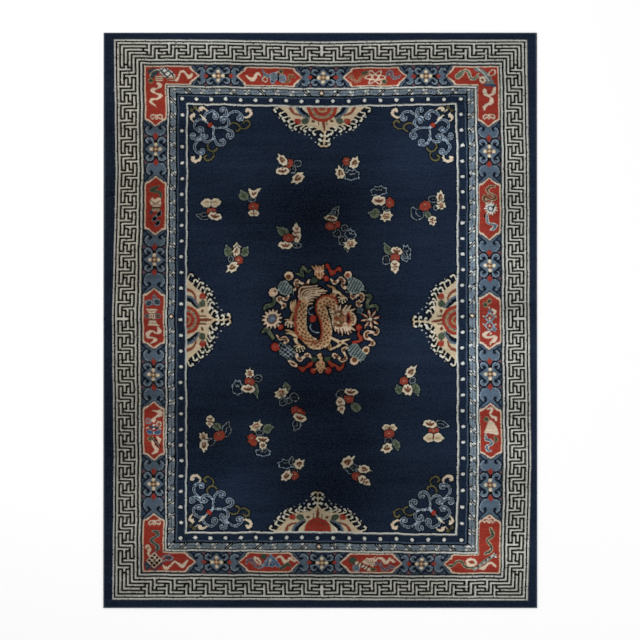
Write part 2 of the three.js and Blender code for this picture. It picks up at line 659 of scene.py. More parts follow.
def boardCorner(b):
    # chequered board stood on its corner
    doubleCurl(b, -0.4, 38.6)
    ribbon(b, [(-1.6, 30.2), (2.6, 29), (3.6, 26), (-1, 23), (-2.6, 20.6), (1, 17.5), (3.6, 14.5), (2, 11)],
        [2, 4.2, 3, 2.6, 4, 2.8, 4.8, 2.8], "leaf", "lichen")
    ribbon(b, [(-6.8, 14.6), (-5, 11.5), (-6.2, 7.5), (-3.4, 5.4)], [6, 4.4, 2.2, 2])
    b.dot(-6.6, 13.8, 1.4, "tan")
    b.area([(-9.5, -2), (-5.5, -0.5), (-3, -5), (-8, -8)], "teal")
    b.dot(-7.4, -4.6, 0.9, "mist")
    b.tile([(-8.4, 1.2), (0.1, 9.7), (8.6, 1.2), (0.1, -7.3)], "ink")
    b.dot(0.1, 1.2, 1, "olive")
    for k in range(4):
        step = k * 2.55
        b.bar([(-7.5 + step, 1.2 + step), (0.1 + step, -6.4 + step)], 1.3, "cream")
        b.bar([(-7.5 + step, 1.2 - step), (0.1 + step, 8.8 - step)], 1.3, "cream")
    b.bar([(-9.4, -0.4), (0.1, -9.6), (9.2, -0.4)], 1.3, "dusk")
    b.line([(7.5, 3), (11, 5.5), (15.5, 6.8), (18.8, 4.6), (15.7, 1.6), (11, 1.6), (8.4, -1)], 1.2, "mist")
    b.line([(12, 3.8), (16, 4.4)], 2.4, "teal")
    ribbon(b, [(8.5, -3.6), (12, -6.6), (15.4, -4.5), (20, 0.2), (24, -1.6), (28, -4), (32.5, 1.6)],
        [1.8, 4.2, 2.2, 2.8, 2.4, 4.8, 2.6])


def fluteCorner(b):
    # spotted flute laid across, with a bud and ribbons
    doubleCurl(b, 0.1, 40.2)
    ribbon(b, [(1.9, 32), (4, 27.5), (3.5, 24.5), (-1.3, 21.1), (2.8, 15.7), (2.5, 11.5), (-2.7, 8.4)],
        [3.2, 4.6, 3.2, 2.8, 3.2, 3.4, 3.8], "leaf", "wheat")
    ribbon(b, [(-35.4, -4.3), (-32, -3.5), (-29, 0.2), (-25, 0.5), (-22.5, -3.5), (-18.5, -6),
        (-14.5, -5.5)], [4.4, 2.8, 3, 3, 2.8, 3.4, 2.8], "leaf", "wheat")
    ribbon(b, [(-8, -7), (-4.5, -6.5), (-0.5, -2), (3.5, -1.5), (7.5, -5)], [3, 4.6, 2.8, 3, 2.2])
    b.line([(-18.8, 2.6), (-15, 2.4), (-12.8, -0.4), (-14.6, -3), (-18.4, -2.6), (-20.2, 0.4),
        (-18.8, 2.6)], 3, "cream")
    b.line([(-16.6, 0.8), (-14.4, -0.6)], 2, "rust")
    b.bar([(-13.2, -7.4), (4.6, 6.4)], 3.8, "stone")
    for k in range(9):
        b.dot(-12.2 + 1.9 * k, -6.4 + 1.47 * k + (0.6 if k % 2 else -0.4), 0.8, "ink" if k % 2 else "pearl")
    for fork in ((5.8, 9.2), (8, 7.6), (8.6, 5)):
        b.bar([(3.4, 5.4), fork], 1, "bone")
    b.bar([(4.2, 4.4), (7.6, 8.8)], 0.8, "ink")


def basketPanel(b):
    # basket of flowers on a stand, over a swirling tassel
    ribbon(b, [(3.2, 20), (-1, 17.5), (-3.5, 15.8), (0.5, 14.5), (4, 14), (5.6, 10.5)],
        [1.5, 5, 4.4, 2.4, 3.4, 3.4], "leaf", "olive")
    b.line([(-3.4, 17.2), (1.4, 19.2)], 0.9, "leaf")
    b.area([(-5.6, 4.8), (-4.4, 6.6), (-2.8, 8.5), (0.2, 7), (3, 8.6), (5.2, 8), (6.1, 5), (5, -0.2),
        (-3.7, -0.2)], "cream")
    b.line([(-4.4, 5.2), (0.2, 2.8), (5, 5.2)], 0.9, "brown")
    b.dots([(-2.6 + 2 * k, 1.2) for k in range(4)], 0.6, "tan")
    b.bar([(-3.8, -1.7), (4.6, -1.7)], 1.3, "leaf")
    b.tile([(-3.4, -2.5), (4.6, -2.5), (4.4, -5.3), (-3.2, -5.3)], "cream")
    b.bar([(-3.2, -3.9), (4.4, -3.9)], 0.8, "tan")
    b.line([(5.4, -6.2), (3.6, -8.4), (1.4, -10.2), (-1.2, -12.8), (0.8, -14.6), (2.8, -16.6),
        (0.6, -20.2)], 0.9, "steel")
    for x, y in ((4, -8), (-0.6, -12.4), (2.6, -17.2)):
        b.line([(x + 1.5, y + 1.9), (x, y), (x - 1.7, y - 1.9)], [2.6, 5, 2.4], "mist")
        b.line([(x + 1.4, y + 1.8), (x, y), (x - 1.6, y - 1.8)], [1.4, 3.6, 1.2], "ink")
    b.dot(-4, -6.6, 1.8, "dusk")


def vasePanel(b):
    # flared vase between round buds
    ribbon(b, [(-1.6, 21), (0.6, 22.6), (1, 19.6), (-1.5, 17.6), (-1, 14.6)], [1.2, 2.6, 2.4, 2, 2],
        "mauve", "mist")
    b.ring(-5.2, 15.4, 3.5, "mist", "teal")
    b.ring(3, 16.6, 3.7, "mist", "teal")
    b.ring(-6.3, 2.5, 2.4, "steel", "brown")
    b.ring(4.6, 3, 2.8, "steel", "brown")
    b.tile([(-7.8, 9.8), (4.6, 9.8), (1.9, 5.4), (-4.6, 5.4)], "cream")
    b.tile([(-4.2, 5.6), (2, 5.6), (1.6, -1.2), (-3.8, -1.2)], "cream")
    b.tile([(-3.8, -1.2), (1.6, -1.2), (6.1, -7.2), (-5.8, -7.2)], "cream")
    b.line([(-6.4, 8.2), (-1.6, 7), (3.4, 8.2)], 0.9, "tan")
    b.bar([(-4.2, 4.6), (2, 4.6)], 0.9, "brown")
    for x in (-2.6, -0.2):
        b.bar([(x, 3.6), (x, -0.4)], 0.9, "brown")
    b.bar([(-3.8, -1.4), (1.6, -1.4)], 0.9, "brown")
    b.dots([(-3.8 + 2.5 * k, -4.8) for k in range(4)], 0.7, "tan")
    ribbon(b, [(4.4, -9), (5.8, -12.5), (2.5, -14.5), (-2, -12.8), (-6, -15.5), (-5, -19), (-0.5, -19.5),
        (1.6, -21), (-0.5, -23.4), (-2.8, -25)], [3, 4.6, 1.8, 2.4, 5.4, 3.4, 1.6, 4.8, 2.6, 1.4])


def tablePanel(b):
    # crossed scrolls tied in the middle
    ribbon(b, [(-1, 20.6), (3, 19.8), (6.2, 19.5), (6.4, 16.5), (2, 14), (0, 11)],
        [1.2, 2, 4.8, 5.2, 1.8, 5.2])
    b.ring(-5.3, 9.7, 3.2, "mist", "rose")
    b.ring(5.2, 6.8, 3, "ivory", "rose")
    b.line([(-7.2, 2.8), (-4, 3.4)], 1.4, "cream")
    b.line([(4.2, 3.2), (7.4, 2.4)], 1.4, "cream")
    b.line([(-3.6, 4), (4.2, 3.6)], 2.4, "dusk")
    b.dot(0.2, 6.2, 1.2, "pearl")
    b.dot(0.2, 2.4, 1.2, "pearl")
    for side in (-1, 1):
        b.line([(0.4, -1.8), (0.4 + 4.2 * side, -1.4), (0.4 + 5.2 * side, -0.8)], [2, 5.4, 4.6], "sky")
        b.line([(0.4, -1.8), (0.4 + 4.2 * side, -1.4), (0.4 + 5.2 * side, -0.8)], [1.6, 3.8, 3], "azure")
    b.dot(0.4, -1.8, 1.1, "pearl")
    b.ring(-3.8, -8.4, 2.7, "tan", "leaf")
    ribbon(b, [(3.5, -6), (6, -8.5), (5.5, -12)], [2.4, 4, 2.4])
    ribbon(b, [(-0.5, -10.5), (0, -14.5), (2.8, -18.4), (1, -21), (-2, -22.5)], [4.2, 3, 5.2, 3.8, 1.6])
    for shift in (-1, 1):
        b.bar([(-1.6 + shift, -5.4), (6 + shift, -15.6)], 1, "ink")
    b.bar([(-1.6, -5.4), (6, -15.6)], 0.8, "cream")


def sunPanel(b):
    # rayed disc
    ribbon(b, [(5.4, 23.4), (1.4, 23.4), (-1.9, 20.2), (-0.2, 16.7), (4.6, 14.6), (5.6, 11.6), (1.2, 10.6),
        (-4.2, 13.2), (-5.6, 10.4), (-2.6, 7.6)], [2.2, 3.4, 4.2, 2.4, 3, 4.2, 2.6, 4.4, 3.8, 2.6], "brown",
        "wheat")
    for k in range(14):
        angle = math.radians(k * 360 / 14 + 5)
        far = 7.2 if k % 2 else 6.2
        b.bar([(0.9 + 3.6 * math.cos(angle), 1.5 + 3.6 * math.sin(angle)),
            (0.9 + far * math.cos(angle), 1.5 + far * math.sin(angle))], [2.4, 0.9], "ivory")
    b.dot(0.9, 1.5, 4.7, "bone")
    b.ring(0.6, 1.2, 3.1, "steel", "pearl")
    b.line([(3.4, 2.2), (5.6, 5.4)], [2.2, 1], "ink")
    b.dot(-3.8, -6.4, 1.8, "ink")
    ribbon(b, [(-2.6, -6), (-2.6, -9), (-2.5, -11.5), (0, -14), (4, -14.5), (6, -16.5), (4.5, -19),
        (1.5, -19.8)], [2.5, 3.2, 3.6, 2.4, 3, 4.8, 3, 1.6], "slate", "bone")


def lozengePanel(b):
    # two linked lozenges between buds
    b.ring(0, 19.9, 2.9, "tan", "leaf")
    b.ring(-4.3, 16.1, 3, "tan", "leaf")
    b.dots([(-0.5, 13.3), (-6.2, 4.2), (6.2, 4.2), (-6.2, -3.4), (6.2, -3.4), (1, -12.9)], 1.1, "cream")
    b.line([(-1, 10), (1.6, 10.8), (4.8, 8.2)], 2.2, "steel")
    b.line([(3.2, 11.2), (5.8, 9.4), (4.6, 7)], 2.6, "cream")
    for y in (3.3, -4.8):
        diamond = [(-4.6, y), (0, y + 5.4), (4.6, y), (0, y - 5.4), (-4.6, y)]
        b.bar(diamond, 2, "slate")
        b.bar(diamond, 0.9, "pearl")
        b.tile([(-1.5, y - 1), (0, y + 1.6), (1.5, y - 1)], "cream")
    b.ring(4.4, -8.4, 2.5, "mist", "steel")
    ribbon(b, [(-0.8, -10.5), (-3.8, -12), (-6, -14.5), (-2, -16.5), (2, -16), (5.6, -17), (4, -20),
        (1, -21.5), (0.5, -24)], [2, 3.6, 4.2, 2.8, 2.8, 4.8, 3.8, 3, 1.4])


def bellPanel(b):
    # ribbed bell
    ribbon(b, [(-2.5, 22), (1.5, 23), (1.5, 20), (0.2, 17.5), (2, 14.5), (5.5, 13.5), (6, 11)],
        [2, 3, 2.8, 2.4, 2.6, 3.4, 2.2])
    b.ring(-3.5, 12, 2.9, "tan", "leaf")
    b.tile([(-0.6, 11), (2, 11), (4.8, 7), (7.4, 1.5), (7.8, -4), (0, -2.6), (-6.8, -2.2), (-5, 2.5),
        (-3, 7)], "cream")
    for y, half in ((8.2, 3.2), (5.4, 4.6), (2.6, 5.8), (-0.2, 6.8)):
        b.bar([(0.9 - half, y), (1.1 + half, y - 0.5)], 0.8, "wheat")
    ribbon(b, [(-5, -4.4), (-4.6, -8), (-1, -9.5), (1.4, -12), (-1, -14.5), (-3.8, -16), (-2.5, -19.5),
        (0.5, -20.2)], [2.6, 3.8, 3.2, 3.2, 2.6, 4.2, 3, 1.4], "slate", "bone")
    ribbon(b, [(3.6, -5.8), (5.4, -8), (4, -10.6)], [2.6, 4.2, 2.6], "leaf", "tan")


def gourdPanel(b):
    # pair of round gourds with leaves
    ribbon(b, [(-23.2, 1.2), (-20.5, -1.5), (-17.5, -3.2), (-14.6, -1.2), (-13.5, 2), (-11.5, 3.6),
        (-8.9, 0.7)], [2, 3, 4.4, 4.2, 3, 2.6, 2])
    ribbon(b, [(14, -5.5), (18, -4.5), (20.6, -2.2), (20, 0.8), (22.5, 2), (25.4, 0.2)],
        [2.2, 2.6, 2.8, 3.2, 2.6, 1.8], "brown", "tan")
    b.area([(-7.6, 7.6), (-5, 3.5), (0.5, 1.5), (-1.5, -1.9), (-8.6, -3.4), (-6.2, 1)], "steel")
    b.line([(-7.4, 7.6), (-4.8, 3.9), (0.2, 1.9)], 0.9, "sky")
    b.ring(-4.6, -2.7, 2.9, "cream", "red")
    b.ring(3.2, -4.3, 2.8, "sky", "dusk")
    b.dot(4.4, 0, 4.4, "sky")
    b.dot(13, -1.4, 4.1, "sky")
    b.dot(4.4, 0, 3.4, "steel")
    b.dot(13, -1.4, 3.1, "steel")
    for x, y in ((3, 1.6), (5.6, 1.8), (2.6, -1.2), (5.4, -1.6), (12.4, 0.6), (14.2, -1.2), (12.2, -2.8)):
        b.dot(x, y, 0.65, "sky")
    b.line([(8.8, 3.4), (9.2, 0), (8.8, -3.6)], 1.3, "ink")
    b.ring(11.2, 5.2, 2.7, "tan", "leaf")
    b.line([(6.6, 4.4), (9.2, 5.6)], 1.3, "cream")


def knotPanel(b):
    # endless knot of three crossing loops
    ribbon(b, [(-26.5, 0), (-23.5, 1.4), (-22, -2), (-19.5, -4.2), (-16.2, -4), (-14.5, -0.5),
        (-11.6, 0.4)], [1.8, 3.2, 3.2, 2.8, 2.8, 2.4, 1.8], "rose", "tan")
    ribbon(b, [(11.5, 1.6), (13.5, 4.5), (16, 4.2), (17, 0.5), (19, -1.6), (22, -1), (25, 0.6)],
        [2, 4, 4.6, 3, 3.2, 2.6, 1.8], "mauve", "mist")
    b.line([(-13, 3), (-9, 4.4)], [3, 4], "tan")
    b.line([(-13, 3), (-9, 4.4)], [1.6, 2.4], "leaf")
    b.ring(9, -4.6, 3, "tan", "leaf")
    for half, slim, turn in ((10.2, 2.5, 0), (8.8, 2.4, 48), (8.8, 2.4, -48)):
        angle = math.radians(turn)
        loop = []
        for k in range(21):
            a = 2 * math.pi * k / 20
            u = half * math.cos(a)
            v = slim * math.sin(a)
            loop.append((u * math.cos(angle) - v * math.sin(angle),
                u * math.sin(angle) + v * math.cos(angle) - 0.5))
        b.bar(loop, 1.3, "cream")


def canopyPanel(b):
    # ribbed canopy
    ribbon(b, [(-22.5, -1.5), (-20.8, 1.5), (-17, 1.6), (-15.5, -2), (-13, -4.4), (-8.5, -4.6),
        (-5.5, -2.5)], [2.2, 4.2, 4.6, 2.8, 3, 3.4, 2.6], "mauve", "mist")
    ribbon(b, [(7, 3.8), (10.5, 6), (13, 4.8), (15.5, 1.2), (18.5, 1.2), (21, 4), (25.5, 1.2)],
        [2.2, 2.8, 3, 4.6, 3, 3.6, 2.6])
    ribbon(b, [(11, -6), (14, -4.5), (16.5, -2.8), (19, -1.6), (21, -3.4)], [2.8, 3.8, 2.8, 3.6, 2], "leaf",
        "olive")
    b.area([(-15.8, 5), (-12, 5.4), (-9, 3), (-7.2, -0.5), (-9.5, -2.5), (-13, -0.5)], "cream")
    b.line([(-12.5, 2.6), (-10, -0.6)], 1.2, "red")
    b.dot(-5.3, 6, 2.9, "leaf")
    canopy = [(1.4, 8.6), (3.5, 6), (7, 2), (11.6, -3.8), (8.5, -4.6), (5.5, -3), (3, -4.6), (0.5, -3),
        (-2, -4.4), (-4.5, -2.8), (-7.2, -3.6), (-3.5, 1.5), (-0.5, 6)]
    b.tile(canopy, "azure")
    b.bar(canopy + canopy[:1], 1, "sky")
    for x in (-4.5, -0.6, 3.6, 7.4):
        b.bar([(1.5, 5.4), (x, -2.8)], 0.9, "sky")
    b.line([(1, 3.2), (0.2, -1.2)], 1.3, "cream")


def chimePanel(b):
    # hanging chime across a striped rod
    ribbon(b, [(4.5, 2.5), (7, 5.5), (11, 4.5), (14, 1), (16.5, 1), (18.5, 4.5), (22.8, 1.5)],
        [2, 2.8, 3.2, 4.2, 3, 3, 3.2])
    ribbon(b, [(4, -1.5), (7, 0.5), (10, -1.5), (11, -5), (14, -6.6), (17, -5.5), (18.5, -3), (21.5, -4.2)],
        [2.2, 3, 2.8, 2.8, 3.4, 2.8, 3, 4], "mauve", "mist")
    b.line([(-1, -6), (4.4, -6.4)], 3.6, "tan")
    b.line([(-0.4, -6), (3.8, -6.4)], 2, "leaf")
    b.dot(-18.2, 2.8, 3.8, "leaf")
    b.ring(-14.8, -4.8, 3.9, "sky", "steel")
    b.tile([(4.4, 7.6), (2, 5), (-4.3, 5.7), (-7.5, 3), (-9.4, 0.8), (2.3, -4.2), (3.5, -0.5), (3.8, 3.5)],
        "cream")
    for k in range(4):
        b.bar([(-5.6 + 2.4 * k, 4.2 - 0.2 * k), (-3.6 + 2.2 * k, -0.6 - 0.9 * k)], 0.8, "tan")
    b.bar([(-14.2, 0.2), (-2.2, -6.2)], 3.8, "cream")
    for k in range(4):
        b.bar([(-13.4 + 2.9 * k, -2 - 1.5 * k), (-11.6 + 2.9 * k, 0.6 - 1.5 * k)], 1, "ink")


panelGround = (53, 79)  # knots from the edge
emblems = [
    (fanCorner, leftX - 0.8, headY - 2), (featherCorner, rightX, headY - 1),
    (boardCorner, leftX + 1, footY), (fluteCorner, rightX - 0.8, footY + 2.2),
    (basketPanel, leftX, 114.4), (vasePanel, leftX, 1.7), (tablePanel, leftX, -110.8),
    (sunPanel, rightX, 110.9), (lozengePanel, rightX, -0.4), (bellPanel, rightX, -111),
    (gourdPanel, -50.8, headY), (knotPanel, 54.8, headY),
    (canopyPanel, -51, footY), (chimePanel, 50.9, footY),
]
for emblem, x, y in emblems:
    b = Brush(x, y)
    emblem(b)
    b.lay(band(*panelGround))


fieldCorners = {
    (-1, 1): (-133.1, 214.8),
    (1, 1): (136.1, 214.8),
    (-1, -1): (-133.1, -211.2),
    (1, -1): (136.1, -211.2),
}
cornerScroll = {
    "bud": (22.3, 19.2),  # quarter inches in from the corner of the field
    "sideways": 1.15,  # the half beside the long edge is wider and shorter than the half beside the end
    "lengthways": 0.88,
}


def scroll(b, points, widths, core):
    # a vine with a pale outline that ends in a curl
    b.line(points, widths, "frost")
    b.line(points, [w - 1.5 for w in widths], core)


def creamTip(b, points, widths):
    # the last curl, in cream with a whiter rim
    b.line(points, widths, "ivory")
    b.line(points, [max(w - 1.3, 0.8) for w in widths], "cream")


def cornerScrolls(x, y, sx, sy):
    # curling vines round a red bud, in two matching halves that meet on the diagonal
    b = Brush(x, y)
    budX, budY = cornerScroll["bud"]

    def beside(points):
        wide = cornerScroll["sideways"]
        long = cornerScroll["lengthways"]
        return mirrored([(budX + (v - budY) * wide, budY + (u - budX) * long) for u, v in points], -sx, -sy)

    def along(points):
        return mirrored(points, -sx, -sy)

    def vine(points, widths=(1.6, 2.8, 2.7, 2.6, 3.1)):
        scroll(b, points, widths, "dusk" if sy < 0 else "denim")

    for half in (along, beside):
        sidePath = half([(41.5, 19.2), (46, 17.2), (50.4, 18.6), (52.4, 21.4), (51.2, 24.6), (48.6, 25.4)])
        endPath = half([(53, 22.2), (57.6, 22.8), (61.6, 20.2), (62, 16.4), (58.8, 14.6), (56.6, 16.6)])
        b.line(sidePath, [1.4, 1.8, 2, 2, 1.8], "moss")
        b.line(endPath, [1.4, 1.8, 2, 2.2, 2], "moss")
        creamTip(b, half([(56.4, 11.2), (60.4, 11), (63.4, 8.2), (62.9, 4.6), (60.2, 3.7), (59.3, 5.3)]),
            [1.6, 2.4, 3, 3.4, 3.2, 2.6])
        creamTip(b, half([(19.2, 4.6), (16.6, 2.8), (13.4, 2.7), (11.9, 4.2), (13.6, 5)]),
            [1.4, 2.2, 3, 2.8, 2.2])
        vine(half([(32.6, 12), (35.6, 11), (38.6, 8), (38.2, 4), (34.8, 2.9), (33, 4.6), (34.6, 5.8)]))
        vine(half([(39.2, 11.4), (42.3, 7.8), (47.3, 5.6), (52, 7), (55, 10.8), (53.4, 13.9), (50.4, 13.6),
            (50.2, 11.6), (51.8, 11.4)]))
        vine(half([(36.4, 22.4), (40.2, 20.2), (41.2, 16), (38.6, 12.8), (35, 12.6), (33.4, 14.8),
            (35, 16.8), (36.6, 15.4)]))
        vine(half([(23.4, 21.4), (27.4, 22.6), (33.2, 22.3), (39.5, 23.6), (44.6, 26.2), (45.8, 30),
            (43, 32.3), (40.2, 31), (41, 29)]), (1.6, 2, 2.3, 2.8, 2.9, 2.8, 3.1))
        vine(half([(20.6, 17.6), (17.3, 14.5), (16.4, 10.3), (19.1, 6.8), (24, 5.4), (28.4, 8.2),
            (29.9, 11), (28.4, 12.9), (26.2, 12.3), (26, 10.2)]), (1.7, 2.4, 2.8, 2.8, 2.7, 2.8, 3.1))
    b.line(along([(17.4, 14.2), (14.6, 11.8), (12.2, 9.8)]), [2.6, 2, 1.2], "ivory")
    b.line(along([(8.4, 4.4), (10.8, 6.4)]), 1.2, "ivory")
    b.line(along([(5.2, 8), (6.8, 9.2)]), 1.2, "ivory")
    for u, v in ((7.2, 2.6), (3.6, 5.4)):
        b.dot(*along([(u, v)])[0], 1.9, "moss")
        b.dot(*along([(u, v)])[0], 0.7, "navy")
    b.dot(*along([(budX, budY)])[0], 2.6, "red")
    b.dot(*along([(budX - 0.9, budY - 0.9)])[0], 0.9, "rose")
    b.edge("ink")
    b.lay(inField)


for (sx, sy), (x, y) in fieldCorners.items():
    cornerScrolls(x, y, sx, sy)


# Half medallions against the field frame: place, turn, how far the stem stands aside, stretch along and
# away from the frame, size of the red disc and whether it is ringed
halfMedallions = [
    ((2.2, 214.8), 180, -1.8, (1, 1), 15, True),
    ((-2.4, -211.3), 0, 0, (1, 0.97), 13.3, False),
    ((-133.2, 0.2), -90, -0.7, (0.95, 1.08), 13.6, True),
    ((136.4, 0.4), 90, -2, (0.94, 1.08), 14.8, True),
]
# Head of each hooked curl of the comb edge and its size, and the picots beyond them
combHooks = [(46.6, 5.4, 1), (41.2, 9.6, 0.9), (38.4, 14.6, 1), (33.6, 15.6, 0.7), (32, 20.8, 1),
    (26.8, 22.6, 1), (21.4, 22.2, 0.55), (17.4, 25, 1), (12.4, 23.8, 0.75), (8.2, 27.8, 1.15)]
combDots = [(43.6, 11.2), (36.4, 18.6), (30.4, 23.4), (23.6, 25.4), (18, 27.6), (13.8, 28.6), (11.2, 31.8),
    (6.8, 35.6)]


def hook(b, x, y, size):
    # a curl that leaves the edge sideways and ends in a round head
    b.line([(x - 4.6 * size, y - 5.2 * size), (x - 1.6 * size, y - 4 * size), (x + 1 * size, y - 3 * size),
        (x + 1.5 * size, y - 1.2 * size), (x, y)], [1.6, 1.5, 1.6, 1.8, 2], "ivory")
    b.dot(x, y, 0.6 + 0.7 * size, "bone")


def halfMedallion(place, turn, aside, stretch, disc, ringed):
    # red disc with petals behind a comb edge of hooked curls
    x, y = place
    b = Brush()
    for flip in (1, -1):
        b.hold(x, y, turn, flip=flip, stretch=stretch)
        stem = aside * flip
        for foot in combHooks:
            hook(b, *foot)
        b.tile([(stem, 0), (46, -1), (40.4, 2.8), (35.4, 7.3), (31, 12.2), (27.6, 16.2), (23.2, 18.2),
            (14.8, 19.4), (8.8, 20.6), (5 + stem / 2, 22.6), (2 + stem, 25.6), (stem, 27)], "wheat")
        b.line([(stem, 24), (stem, 31), (stem, 38.6), (1.6 + stem, 40), (4 + stem, 39.6),
            (5.2 + stem, 38.2)], [2.8, 2, 1.6, 1.8, 2, 2.6], "wheat")
        for high, out in ((33, 4.8), (28, 3.8)):
            b.line([(stem, high), (1.8 + stem, high + 1.6), (out - 0.8 + stem, high + 1.6),
                (out + stem, high)], [1.4, 1.5, 1.7, 2.2], "ivory")
        for bulbX, bulbY in ((5.2, 38.2), (4.8, 33), (3.9, 28.4)):
            b.dot(bulbX + stem, bulbY, 1.4, "bone")
    b.edge("ink", 2)
    for flip in (1, -1):
        b.hold(x, y, turn, flip=flip, stretch=stretch)
        for dotX, dotY in combDots:
            b.dot(dotX, dotY, 0.75, "bone")
        b.line([(32.6, -1), (30.4, 3.8), (26.8, 6.8), (21.8, 8.4)], [3, 2.6, 2, 1.2], "rust")
        b.line([(25.6, -1), (22.8, 4.8), (18.4, 8.6), (12.8, 11.6)], [2.6, 2.4, 2, 1.2], "slate")
        b.line([(22.6, -1), (20.4, 3.2), (16.6, 6.8), (12.8, 9.8)], [3.6, 3.3, 2.7, 1.4], "night")
        b.line([(19.2, -1), (17.8, 2.8), (15, 5.8)], [1.6, 1.4, 0.8], "ivory")
        b.area([(21.8, 14.6), (23.4, 17.2), (26.2, 17), (28.8, 14), (26.2, 11.6), (23, 12)], "red")
        b.line([(23, 15.8), (24.2, 14.2), (23.2, 12.8)], 0.9, "rose")
        b.area([(13.6, 13.6), (15.4, 16.8), (19, 17), (21.4, 14.4), (18.8, 11.4), (15.4, 11.4)], "olive")
        b.hatch("olive", "leaf", 1.9, 0.8, 30)
        b.area([(7.4, 14), (9, 15.6), (11.4, 15), (10, 13.2)], "brown")
        b.bar([(4.2, 12.6), (4.2, 17.6)], 1.2, "brown")
    b.hold(x, y, turn, stretch=stretch)
    b.line([(0, disc - 1), (aside * 0.6, 18), (aside, 23)], [2.4, 3, 1.6], "rust")
    b.line([(0, disc - 1), (aside * 0.6, 18), (aside, 21.4)], [0.8, 1.2, 0.8], "brown")
    b.dot(0, 0, disc, "red")
    if ringed:
        rings = ((0.8, "tan"), (0.62, "rose"), (0.56, "red"), (0.37, "tan"), (0.22, "red"), (0.09, "olive"))
        for share, yarn in rings:
            b.dot(0, 0, disc * share, yarn)
        for degrees in range(15, 180, 30):
            a = math.radians(degrees)
            b.dot(disc * 0.71 * math.cos(a), disc * 0.71 * math.sin(a), 0.85, "steel")
    else:
        b.line([(-9, 0), (-8, 6), (-3, 9.4), (3, 9.4), (8, 6), (9, 0)], 1, "rust")
        b.line([(-4.5, 0), (-3, 4.2), (3, 4.2), (4.5, 0)], 1, "rust")
    b.lay(inField)


for medallion in halfMedallions:
    halfMedallion(*medallion)


# Round medallion in the middle of the field: a coiled dragon with a pearl, and a wreath of
# ribbons, blossoms and striped cases around it. Quarter inches from the middle of the wreath.
medallionSpot = (-0.2, 1.4)


def alongCurve(points, step):
    # evenly spaced places on a soft curve, each with the direction square to it
    curve = smoothThrough(points)
    lengths = np.concatenate(([0], np.cumsum(np.hypot(*np.diff(curve, axis=0).T))))
    spots = []
    for reach in np.arange(step / 2, lengths[-1], step):
        place = np.array([np.interp(reach, lengths, curve[:, k]) for k in range(2)])
        ahead = np.array([np.interp(reach + 0.5, lengths, curve[:, k]) for k in range(2)]) - place
        ahead /= max(np.hypot(*ahead), 1e-6)
        spots.append((place, np.array((-ahead[1], ahead[0]))))
    return spots


def widthAt(widths, share):
    return np.interp(share, np.linspace(0, 1, len(widths)), widths)


def strand(b, start, bow, end, widths, yarn):
    # a tapered hair that bows to one side
    b.line([start, ((start[0] + end[0]) / 2 + bow[0], (start[1] + end[1]) / 2 + bow[1]), end], widths, yarn)


def paw(b, x, y, turn, size=1):
    # a rounded paw with four long talons and a spur
    a = math.radians(turn)

    def at(side, out):
        acrossPaw = math.cos(a) * side - math.sin(a) * out
        alongPaw = math.sin(a) * side + math.cos(a) * out
        return x + acrossPaw * size, y + alongPaw * size

    b.dot(x, y, 2.5 * size, "tan")
    for side, out, bend in ((-4.6, 4.2, -2.4), (-1.8, 6.2, -1), (1.4, 6.4, 0.8), (4.4, 4.4, 2.6)):
        b.line([at(side * 0.3, 0.8), at(bend * 0.9 + side * 0.4, out * 0.5), at(side, out)],
            [1.6, 1.5, 1.2], "wheat")
        b.dot(*at(side, out), 0.8, "ivory")
    b.bar([at(2.6, -0.6), at(5.4, -0.8)], [1.4, 1.1], "wheat")


dragon = {
    # from the tail down the left side, round the foot of the coil and up to the neck
    "back": [(-16.8, 17), (-18.4, 11), (-19.2, 4), (-19.2, -3), (-18.4, -9.6), (-16, -15.8), (-11.6, -21.2),
        (-5.4, -25), (1, -25), (5.4, -21), (7, -15), (6.8, -8.6), (5.2, -2), (2.8, 4.4), (1.2, 10.4),
        (3, 15.8), (8.2, 17.4), (12.6, 14.8), (14.8, 9.4)],
    "girth": [6.5, 8.6, 9.6, 9.8, 9.6, 9.4, 9, 8.8, 8.6, 8.6, 8.8, 8.6, 8.4, 8.4, 9.4, 10, 9.8, 8.8, 7.6],
    "ridge": [(-19.8, 18.4), (-22.8, 11), (-24.3, 4), (-24.3, -3), (-23.6, -9.6), (-21, -16.6),
        (-15.6, -21), (-9.6, -22.4), (-4, -24), (0.8, -21.4), (2.6, -15), (2, -8), (0.4, -1.6), (-2.4, 5),
        (-3.8, 11), (-2.6, 18), (2.6, 22), (9, 22.4), (15, 20), (18, 14.4)],
    "plates": (
        [(-13, 16.4), (-14, 9), (-14.5, 2), (-14.4, -5), (-12.8, -11.6), (-8.4, -17.4), (-3.2, -20.4)],
        [(-12.6, -26.6), (-5, -29.6), (3, -28.8), (9, -24), (11.4, -17), (11, -9), (9.2, -2), (7, 4),
            (6.4, 9)],
    ),
    "tail": [((-20, 14), (-8.6, 6.6), (-2.8, 33.4)), ((-19.4, 15), (-7.2, 5.4), (0.4, 31.2)),
        ((-18.6, 16), (-6.2, 4.6), (3.6, 29.2)), ((-17.8, 16.6), (-5.2, 3.9), (6.2, 27.6)),
        ((-16.8, 17), (-4.2, 3.2), (5.2, 25.4)), ((-15.8, 17.2), (-3, 2.6), (-0.4, 23.8)),
        ((-14.6, 17), (-2.2, 1.9), (-3.6, 21.4)), ((-13.4, 16), (-1.4, 1.4), (-5.8, 18.8)),
        ((-12.6, 14.4), (-0.8, 0.9), (-8, 15.6))],
}


